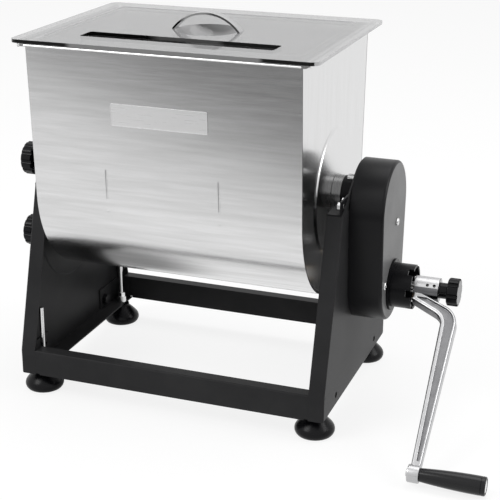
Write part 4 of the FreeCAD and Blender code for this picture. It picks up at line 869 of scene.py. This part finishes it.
def side_plate(side):
    """Bent side plate: web with a round top, flanges in front and behind, and a foot flange."""
    name = "side_plate_" + ("right" if side > 0 else "left")
    x = side * web_outer
    reach = math.hypot(neck_half, neck_z - top_round_z)
    turn = math.atan2(neck_z - top_round_z, neck_half) + math.acos(top_round / reach)
    touch = Vector((x, top_round * math.cos(turn), top_round_z + top_round * math.sin(turn)))
    points = [Vector((x, -touch.y, touch.z)), Vector((x, -neck_half, neck_z)),
              Vector((x, -stand_half, base_edge_z)), Vector((x, -stand_half, stand_bottom)),
              Vector((x, stand_half, stand_bottom)), Vector((x, stand_half, base_edge_z)),
              Vector((x, neck_half, neck_z)), touch]
    piece = pencil(name + "_bent", points[0])
    draw_through(points)
    draw_round(math.pi - 2 * turn, (x, 0, top_round_z), (1, 0, 0), 24)
    weld()
    disc_centre = Vector((x, 4 * mm, shaft_z - 71 * mm))
    disc_radius = 80 * mm
    if side < 0:
        bpy.ops.mesh.primitive_circle_add(vertices=96, radius=disc_radius, location=disc_centre,
                                          rotation=(0, math.pi / 2, 0))
    select_all()
    bpy.ops.mesh.fill()
    if side < 0:
        choose("EDGE", on_circle(disc_centre, disc_radius))
        rings = [(disc_radius - step_in * mm, step_up * mm)
                 for step_in, step_up in ((0.6, 0.3), (1.4, 1.0), (2.2, 1.2))]
        draw_rings(disc_centre, (1, 0, 0), disc_radius, rings)
        bpy.ops.mesh.edge_face_add()

    def on_edge(p):
        return at(p.x, x) and p.z < neck_z + mm / 10 and abs(p.y) > edge_half(p.z) - mm / 10

    for face_side in (-1, 1):
        choose("EDGE", lambda p: on_edge(p) and face_side * p.y > neck_half - mm)
        draw((-side * flange_width, 0, 0))
    choose("EDGE", lambda p: at(p.x, x) and at(p.z, stand_bottom))
    draw((-side * foot_flange_width, 0, 0))
    widen((1, 1 - 2.4 * mm / stand_half, 1), (x, 0, stand_bottom))
    choose("EDGE", on_edge)
    bpy.ops.mesh.bevel(offset=2.2 * mm, segments=3, affect="EDGES", clamp_overlap=True)
    done()
    thicken(piece, black_sheet, (side, 0, 0))
    soften(piece, sheet_edge, 50)
    return fit(piece, "stand", "black_coat", coat_stand,
               "side_plate_right" if side > 0 else "side_plate_left")


def edge_half(z):
    """Half depth of the stand's edge at height z."""
    if z <= base_edge_z:
        return stand_half
    return stand_half - (z - base_edge_z) * math.tan(slant_lean)


def cross_bar(front):
    """Bent bar in line with the flanges, its ends stepped in behind them, with a tab along each web."""
    node = "front_bar" if front < 0 else "rear_bar"
    gap = clearance
    half = web_inner - gap
    face = stand_half
    behind = face - black_sheet - gap
    tab = 60 * mm
    face_end = web_outer - flange_width - gap
    foot_free = web_outer - foot_flange_width - gap
    bottom, top = low(node).z, high(node).z
    above_foot = bottom + black_sheet + gap
    end_top = 56.85 * mm
    corners = [(half, behind - tab), (half, behind), (face_end, behind), (face_end, face),
               (foot_free + gap, face), (foot_free, face)]
    corners += [(-x, y) for x, y in reversed(corners)]
    points = [Vector((x, front * y, bottom)) for x, y in corners]
    piece = pencil(node + "_bent", points[0])
    draw_through(points)
    select_all()
    draw((0, 0, top - bottom))
    choose("VERT", lambda p: abs(p.x) > foot_free + gap / 2 and p.z < bottom + gap)
    bpy.ops.transform.translate(value=(0, 0, above_foot - bottom))
    choose("VERT", lambda p: abs(p.y) < behind + gap and p.z > top - gap)
    bpy.ops.transform.translate(value=(0, 0, end_top - top))
    choose("EDGE", lambda p: abs(abs(p.y) - face) < gap and p.z > top - gap)
    draw((0, -front * bar_lip, 0))
    choose("EDGE", lambda p: (abs(abs(p.y) - face) < gap and p.z > top - gap)
           or (abs(abs(p.x) - half) < gap and abs(abs(p.y) - behind) < gap))
    bpy.ops.mesh.bevel(offset=2 * mm, segments=3, affect="EDGES")
    done()
    thicken(piece, black_sheet, (0, front, 0))
    soften(piece, 0.25 * mm, 50)
    return fit(piece, "stand", "black_coat", coat_stand, node)


def rubber_feet():
    """Four turned rubber bells with a soft edge."""
    profile = [(0, 0), (0, 20.3), (0.6, 21.4), (2.5, 22.9), (4.8, 23.8), (7.0, 24.0), (9.6, 23.4),
               (12.0, 22.0), (14.5, 19.8), (17.5, 16.9), (20.3, 14.0), (21.9, 12.3), (23.1, 11.2),
               (24.4, 10.75), (26.2, 10.6), (26.5, 10.3), (26.5, 0)]
    points = [(z * mm, radius * mm) for z, radius in profile]
    corner = high("rubber_feet")
    feet = []
    for sx in (-1, 1):
        for sy in (-1, 1):
            place = (sx * (corner.x - 24 * mm), sy * (corner.y - 24 * mm), 0)
            feet.append(lathe("rubber_foot", points, place, "Z"))
    join(*feet)
    feet[0].name = "rubber_feet_turned"
    smooth(feet[0], 50)
    return fit(feet[0], "stand", "black_rubber", rubber_black, "rubber_feet")


# Gear cover

def gear_cover():
    """Pressed cover with a round outer edge, open towards the side plate."""
    start, outer = low("gear_cover").x, high("gear_cover").x
    top, bottom = 56 * mm, 51 * mm
    top_z, bottom_z = high("gear_cover").z - top, low("gear_cover").z + bottom
    turn = math.asin((top - bottom) / (top_z - bottom_z))
    narrowing = top * math.cos(turn) - bottom * math.cos(turn)
    fall = bottom_z - top_z + (top - bottom) * math.sin(turn)
    piece = pencil("gear_cover_pressed", (start, top * math.cos(turn), top_z - top * math.sin(turn)))
    draw_round(math.pi + 2 * turn, (start, 0, top_z), (1, 0, 0), 40)
    draw((0, narrowing, fall))
    draw_round(math.pi - 2 * turn, (start, 0, bottom_z), (1, 0, 0), 40)
    draw((0, narrowing, -fall))
    weld()
    select_all()
    draw((outer - start, 0, 0))
    bpy.ops.mesh.edge_face_add()
    choose("EDGE", lambda p: p.x > outer - mm / 10)
    bpy.ops.mesh.bevel(offset=4 * mm, segments=6, affect="EDGES")
    done()
    thicken(piece, black_sheet, (1, 0, 0))
    soften(piece, sheet_edge, 50)
    paint(piece, coat_cover)
    # The outer flat face takes the lighter painted-light grey
    second_finish(piece, painted_light_cover_face, lambda c, n: n.x > 0.97 and c.x > outer - mm)
    return fit(piece, "stand", "black_coat", None, "gear_cover")


# Crank

crank_down = Vector((0, -math.sin(crank_lean), -math.cos(crank_lean)))
crank_centre = Vector((0, 0, crank_z))
hub_start = low("crank_arm").x
hub_length = 29.7 * mm
hub_end = hub_start + hub_length
hub_radius = 14.5 * mm
pin_hole = 1.9 * mm
bend_reach = 40.0 * mm
arm_taper = 2.0 * mm
boss_end = high("crank_arm").x
arm_tip = boss_end - 0.3 * mm
arm_outer = arm_tip + 2.6 * mm


def on_crank(x, reach):
    return Vector((x, 0, crank_z)) + crank_down * reach


def moved_in(line, distances):
    """Corners of a flat line, drawn against the clock, with each side moved inwards."""
    sides = []
    for i, distance in enumerate(distances):
        here, there = Vector(line[i]), Vector(line[(i + 1) % len(line)])
        along = (there - here).normalized()
        sides.append((here + Vector((-along.y, along.x)) * distance, along))
    corners = []
    for i, (place, along) in enumerate(sides):
        before, before_along = sides[i - 1]
        meet, _ = intersect_line_line(before.to_3d(), (before + before_along).to_3d(),
                                      place.to_3d(), (place + along).to_3d())
        corners.append((meet.x, meet.y))
    return corners


def arm_blade():
    """The arm, drawn hanging straight down: a round rim on each side with a sunk groove between."""
    root, end = 10.5 * mm, (crank_reach - 4 * mm)
    line = [(hub_start + 0.5 * mm, root), (hub_start + 9.5 * mm, root), (arm_outer, 31.6 * mm),
            (arm_tip, end), (arm_tip - 10.7 * mm, end), (arm_outer - 18.5 * mm, 40 * mm),
            (hub_start + 0.5 * mm, 20.7 * mm)]
    rim = (7.0, 3.0, 3.0, 9.0, 5.2, 5.2, 6.0)
    half = 8 * mm
    # Half thickness, share of the rim's width and a further step in; out to the rim, then down the groove
    rings = [(0.0, 0.0, 0.0), (5.6, 0.0, 0.0), (6.7, 0.0, 0.25), (7.5, 0.0, 0.9), (7.9, 0.0, 1.7),
             (8.0, 0.0, 2.4), (7.97, 1.0, -0.7), (7.7, 1.0, -0.25), (7.1, 1.0, 0.0), (5.65, 1.0, 0.1),
             (5.2, 1.0, 0.3), (5.0, 1.0, 0.8)]
    loops = []
    for out, share, more in rings:
        distances = [(share * width + more) * mm for width in rim]
        corners = moved_in(line, distances)
        radii = [0.8 * mm, 0.8 * mm, 25 * mm - distances[2], 1.0 * mm, 1.0 * mm, 17 * mm + distances[5],
                 0.4 * mm]
        places = [(x, -out * mm, crank_z - reach) for x, reach in corners]
        loops.append(outline("arm_ring", places, radii, 8))
    piece = join(*loops)
    edit()
    for (here, _, _), (there, _, _) in zip(rings[:-1], rings[1:]):
        choose("EDGE", lambda p: min(abs(p.y + here * mm), abs(p.y + there * mm)) < mm / 1000)
        bpy.ops.mesh.bridge_edge_loops()
    choose("EDGE", lambda p: abs(p.y + rings[-1][0] * mm) < mm / 1000)
    bpy.ops.mesh.fill()
    bend_z = crank_z - bend_reach
    choose("VERT", lambda p: p.z < bend_z and p.y < -half / 2)
    lean = math.atan2(arm_taper, crank_reach - bend_reach)
    bpy.ops.transform.rotate(value=-lean, orient_axis="X", center_override=(0, -half, bend_z))
    done()
    modify(piece, "MIRROR", use_axis=(False, True, False), merge_threshold=mm / 100)
    edit()
    close_skin()
    turned_about(piece, crank_lean, "X", crank_centre)
    return piece


def hub_holes():
    """Cutters of the two pin holes and the slot at the hub's outer end."""
    top, bottom = crank_z + hub_radius + mm, crank_z + hub_radius - 3 * mm
    profile = [(top, 0), (top, pin_hole), (bottom, pin_hole), (bottom, 0)]
    cutters = []
    for offset in (16.6, 24.7):
        hole = lathe("pin_hole", profile, (hub_start + offset * mm, 0, 0), "Z", 24)
        turned_about(hole, math.radians(-52), "X", crank_centre)
        cutters.append(hole)
    slot = block("slot", (hub_end - 11.5 * mm, -2.2 * mm, bottom), (hub_end + mm, 2.2 * mm, top))
    turned_about(slot, math.radians(-108), "X", crank_centre)
    return cutters + [slot]


def crank_arm():
    """Cast crank: hub, arm with a groove along each side and a boss for the grip."""
    bore, stud_bore = 7.05 * mm, 4.05 * mm
    cap = hub_end - 2.5 * mm
    brim, shoulder = 13.6 * mm, 14.2 * mm
    profile = [(hub_start, bore), (hub_start, brim), (hub_start + 0.3 * mm, shoulder),
               (hub_start + 0.9 * mm, hub_radius), (hub_end - 0.9 * mm, hub_radius),
               (hub_end - 0.3 * mm, shoulder), (hub_end, brim), (hub_end, stud_bore), (cap, stud_bore),
               (cap, bore), (hub_start, bore)]
    hub = lathe("hub", profile, crank_centre, "X", 96)
    cut_away(hub, *hub_holes())
    start, radius, hole = boss_end - 13.4 * mm, 10 * mm, 4.05 * mm
    profile = [(start, hole), (start, radius - 1.3 * mm), (start + 0.4 * mm, radius - 0.4 * mm),
               (start + 1.3 * mm, radius), (boss_end - 1.3 * mm, radius),
               (boss_end - 0.4 * mm, radius - 0.4 * mm), (boss_end, radius - 1.3 * mm), (boss_end, hole),
               (start, hole)]
    boss = lathe("boss", profile, on_crank(0, crank_reach))
    piece = join(arm_blade(), hub, boss)
    piece.name = "crank_arm_cast"
    smooth(piece)
    paint(piece, aluminium)
    across = Vector((0, math.cos(crank_lean), -math.sin(crank_lean)))

    def in_groove(c, n):
        reach, out = (c - crank_centre).dot(crank_down), (c - crank_centre).dot(across)
        narrowing = max(0.0, reach - bend_reach) * arm_taper / (crank_reach - bend_reach)
        return reach > 15 * mm and abs(out) + narrowing < 7.4 * mm and n.dot(across) * out > 0.5 * abs(out)

    def in_hub_holes_painted_shade(c, n):
        depth = hub_radius - Vector((0, c.y, c.z - crank_z)).length
        return 0.25 * mm < depth < 3.5 * mm and hub_start + 13 * mm < c.x < hub_end - mm / 10

    # Faces near the root that look down the arm; they take the painted shade
    def in_shaded_root(c, n):
        reach = (c - crank_centre).dot(crank_down)
        return c.x > hub_start + 7 * mm and reach < 44 * mm and n.dot(crank_down) > 0.45

    second_finish(piece, painted_shade_aluminium, in_shaded_root)
    second_finish(piece, aluminium_groove, in_groove)
    # Painted shade: the walls of the pin holes and the slot get the black of the fittings
    second_finish(piece, coat_fittings, in_hub_holes_painted_shade)
    return fit(piece, "crank", "cast_aluminium", None, "crank_arm")


def grip_sleeve():
    """Turned grip, slim at the arm, with a fine groove and a recess at its end."""
    start, end = low("grip_sleeve").x, high("grip_sleeve").x
    tip, root, bore, edge = 10.6 * mm, 7.3 * mm, 4.4 * mm, 0.8 * mm
    shoulder = end - 1.4 * mm

    def radius_at(x):
        t = (x - start) / (end - start)
        return root + (tip - root) * t + 1.1 * mm * 4 * t * (1 - t)

    profile = [(start, bore), (start, root - edge), (start + edge, radius_at(start + edge))]
    profile += [(x, radius_at(x)) for x in (start + (shoulder - start) * i / 24 for i in range(1, 24))]
    groove = end - 5 * mm
    brim, floor = radius_at(groove), radius_at(groove) - 0.4 * mm
    profile = [point for point in profile if point[0] < groove - 0.6 * mm]
    profile += [(groove - 0.45 * mm, brim), (groove - 0.2 * mm, floor),
                (groove + 0.2 * mm, floor), (groove + 0.45 * mm, brim),
                (shoulder, tip), (end - 0.7 * mm, tip - 0.3 * mm), (end - 0.2 * mm, tip - 0.8 * mm),
                (end, tip - 1.4 * mm), (end, 8.4 * mm), (end - 2.4 * mm, 8.4 * mm), (end - 2.4 * mm, bore),
                (start, bore)]
    piece = lathe("grip_sleeve_turned", profile, on_crank(0, crank_reach), "X", 96)
    smooth(piece, 45)
    return fit(piece, "grip", "black_grip", plastic_grip, "grip_sleeve")


# Floor, light and camera

def studio():
    """Pale floor in white surroundings; reflections see the floor glow with painted shade in darker
    patches.
    """
    put_down()
    bpy.ops.mesh.primitive_plane_add(size=24)
    floor = bpy.context.object
    floor.name = "floor"
    material = bpy.data.materials.new("floor_white")
    material.use_nodes = True
    material.node_tree.nodes.remove(shader_of(material))
    place = add_node(material, "TexCoord").outputs["Object"]

    def eased(value, start, end, dark):
        return mapped(material, value, start, end, dark, 1.0, interpolation_type="SMOOTHSTEP")

    def spot(x, y, near, far, dark):
        """Level that falls to dark round a place on the floor."""
        distance = add_node(material, "VectorMath", {0: place, 1: (x, y, 0)}, operation="DISTANCE")
        return eased(distance.outputs["Value"], near, far, dark)

    def mixed(share, first, second):
        return add_node(material, "MixShader", {"Fac": share, 1: first, 2: second}).outputs["Shader"]

    # Painted shade for reflections only: darker ground far to the front right, a darker patch to the right
    # and a painted shadow under the tank
    towards = add_node(material, "VectorMath", {0: place, 1: (-0.53, 0.848, 0)}, operation="DOT_PRODUCT")
    floor_painted_shade = eased(towards.outputs["Value"], -0.86, -0.5, 0.2)
    for level in (spot(1.15, -0.45, 0.1, 0.45, 0.15), spot(-0.16, -0.02, 0.05, 0.16, 0.3)):
        floor_painted_shade = combined(material, "MULTIPLY", floor_painted_shade, level)
    paths = add_node(material, "LightPath").outputs
    matt = add_node(material, "BsdfDiffuse", {"Color": (0.8, 0.8, 0.8, 1)}).outputs["BSDF"]
    painted_reflected_floor = add_node(material, "Emission", {"Strength": floor_painted_shade}).outputs["Emission"]
    pale = mixed(0.75, matt, add_node(material, "Emission", {"Strength": 1.1}).outputs["Emission"])
    in_gloss = mixed(paths["Is Glossy Ray"], matt, painted_reflected_floor)
    in_view = mixed(paths["Is Camera Ray"], in_gloss, pale)
    fill(material.node_tree.nodes["Material Output"], {"Surface": in_view})
    floor.data.materials.append(material)

    world = bpy.data.worlds.new("studio")
    bpy.context.scene.world = world
    world.use_nodes = True
    paths = add_node(world, "LightPath").outputs
    seen = paths["Is Camera Ray"]
    for kind in ("Is Glossy Ray", "Is Transmission Ray"):
        seen = combined(world, "MAXIMUM", seen, paths[kind])
    fill(world.node_tree.nodes["Background"],
         {"Color": (1, 1, 1, 1), "Strength": mapped(world, seen, 0, 1, 0.5, 1.0)})


def lamp(name, place, target, size, power):
    """Round soft lamp that looks from a place at a target."""
    put_down()
    bpy.ops.object.light_add(type="AREA", location=place)
    light = bpy.context.object
    light.name = name
    light.data.shape = "DISK"
    light.data.size = size
    light.data.energy = power
    light.rotation_euler = (Vector(target) - Vector(place)).to_track_quat("-Z", "Y").to_euler()


def camera():
    """Camera at the photograph's place: 20 degrees to the right of the front and 20 above it."""
    turned = Matrix.Rotation(math.radians(19.9098), 3, "Z")
    tipped = Matrix.Rotation(math.pi / 2 - math.radians(20.1027), 3, "X")
    rolled = Matrix.Rotation(math.radians(0.2652), 3, "Z")
    bpy.ops.object.camera_add(location=(0.56593, -1.40969, 0.72260),
                              rotation=(turned @ tipped @ rolled).to_euler())
    view = bpy.context.object
    view.data.lens = 92.937
    view.data.sensor_width = 36.0
    bpy.context.scene.camera = view


bpy.context.scene.view_settings.view_transform = "Standard"
camera()
studio()
lamp("key_lamp", (-1.3, -1.6, 2.2), (0, 0, 0.2), 1.4, 26)
lamp("right_lamp", (2.0, 0.2, 1.4), (0.1, 0, 0.2), 1.2, 14)
lamp("top_lamp", (0.2, 0.6, 2.4), (0, 0, 0.2), 1.6, 12)

trough()
end_plate(-1)
end_plate(1)
nameplate()
lid_panel()
lid_handle()
for side in (-1, 1):
    side_plate(side)
    cross_bar(side)
rubber_feet()
gear_cover()
crank_arm()
grip_sleeve()

# Small parts keep their shape from the frame, with broken edges
softened_nodes = {
    "bearing_housing_left": ("stand", "black_steel", coat_fittings, 0.6),
    "bearing_housing_right": ("stand", "black_steel", coat_fittings, 0.6),
    "housing_ring_nut": ("stand", "black_steel", coat_fittings, 0.4),
    "pin_boss": ("stand", "black_steel", coat_fittings, 0.6),
    "lock_boss": ("stand", "black_steel", coat_fittings, 0.6),
    "stop_bracket": ("stand", "black_steel", coat_fittings, 0.3),
    "stop_bolts": ("stand", "plated_steel", steel_plated, 0.3),
    "cover_screws": ("stand", "plated_steel", steel_plated, 0.3),
    "crank_collar": ("stand", "black_plastic", plastic_black, 0.5),
    # The tank hubs take the dark painted-reflection steel
    "tank_hub_left": ("tank", "bright_steel", steel_painted_dark_reflection, 0.5),
    "tank_hub_right": ("tank", "bright_steel", steel_painted_dark_reflection, 0.5),
    "foot_weld_nuts": ("stand", "plated_steel", steel_plated, 0.3),
    "foot_lock_nuts": ("stand", "plated_steel", steel_plated, 0.3),
    "bar_bolts": ("stand", "black_steel", coat_fittings, 0.4),
    "star_knob": ("star_knob", "black_plastic", plastic_knob, 0.5),
    "pull_knob": ("pull_pin", "black_plastic", plastic_knob, 0.5),
    "lock_knob": ("lock_knob", "black_plastic", plastic_knob, 0.5),
    "paddle_arms": ("paddle", "bright_steel", steel_bright, 0.4),
    "paddle_blades": ("paddle", "brushed_steel", steel_end, 0.4),
    "grip_cap": ("crank", "plated_steel", steel_plated, 0.3),
}
for node, (body, slot, material, width) in softened_nodes.items():
    small_part = dressed(node, width * mm)
    fit(small_part, body, slot, material, node)
    # The star knob's outer face takes the painted highlight
    if node == "star_knob":
        second_finish(small_part, knob_face_painted_light, lambda c, n: n.x > 0.95 and c.x > high("star_knob").x - mm)

node_finishes = {
    "brushed_steel": steel_end, "bright_steel": steel_bright, "plated_steel": steel_plated,
    "name_plate": plate_metal, "black_coat": coat_stand, "black_steel": coat_fittings, "bronze": bronze,
    "cast_aluminium": aluminium, "black_plastic": plastic_black, "black_grip": plastic_grip,
    "black_rubber": rubber_black, "clear_plastic": acrylic,
}
slot_of = {part["node"]: part["material_slot"] for part in frame["record"]["subparts"]}
for node, thing in frame["nodes"].items():
    paint(thing, node_finishes[slot_of[node]])

bpy.context.view_layer.update()
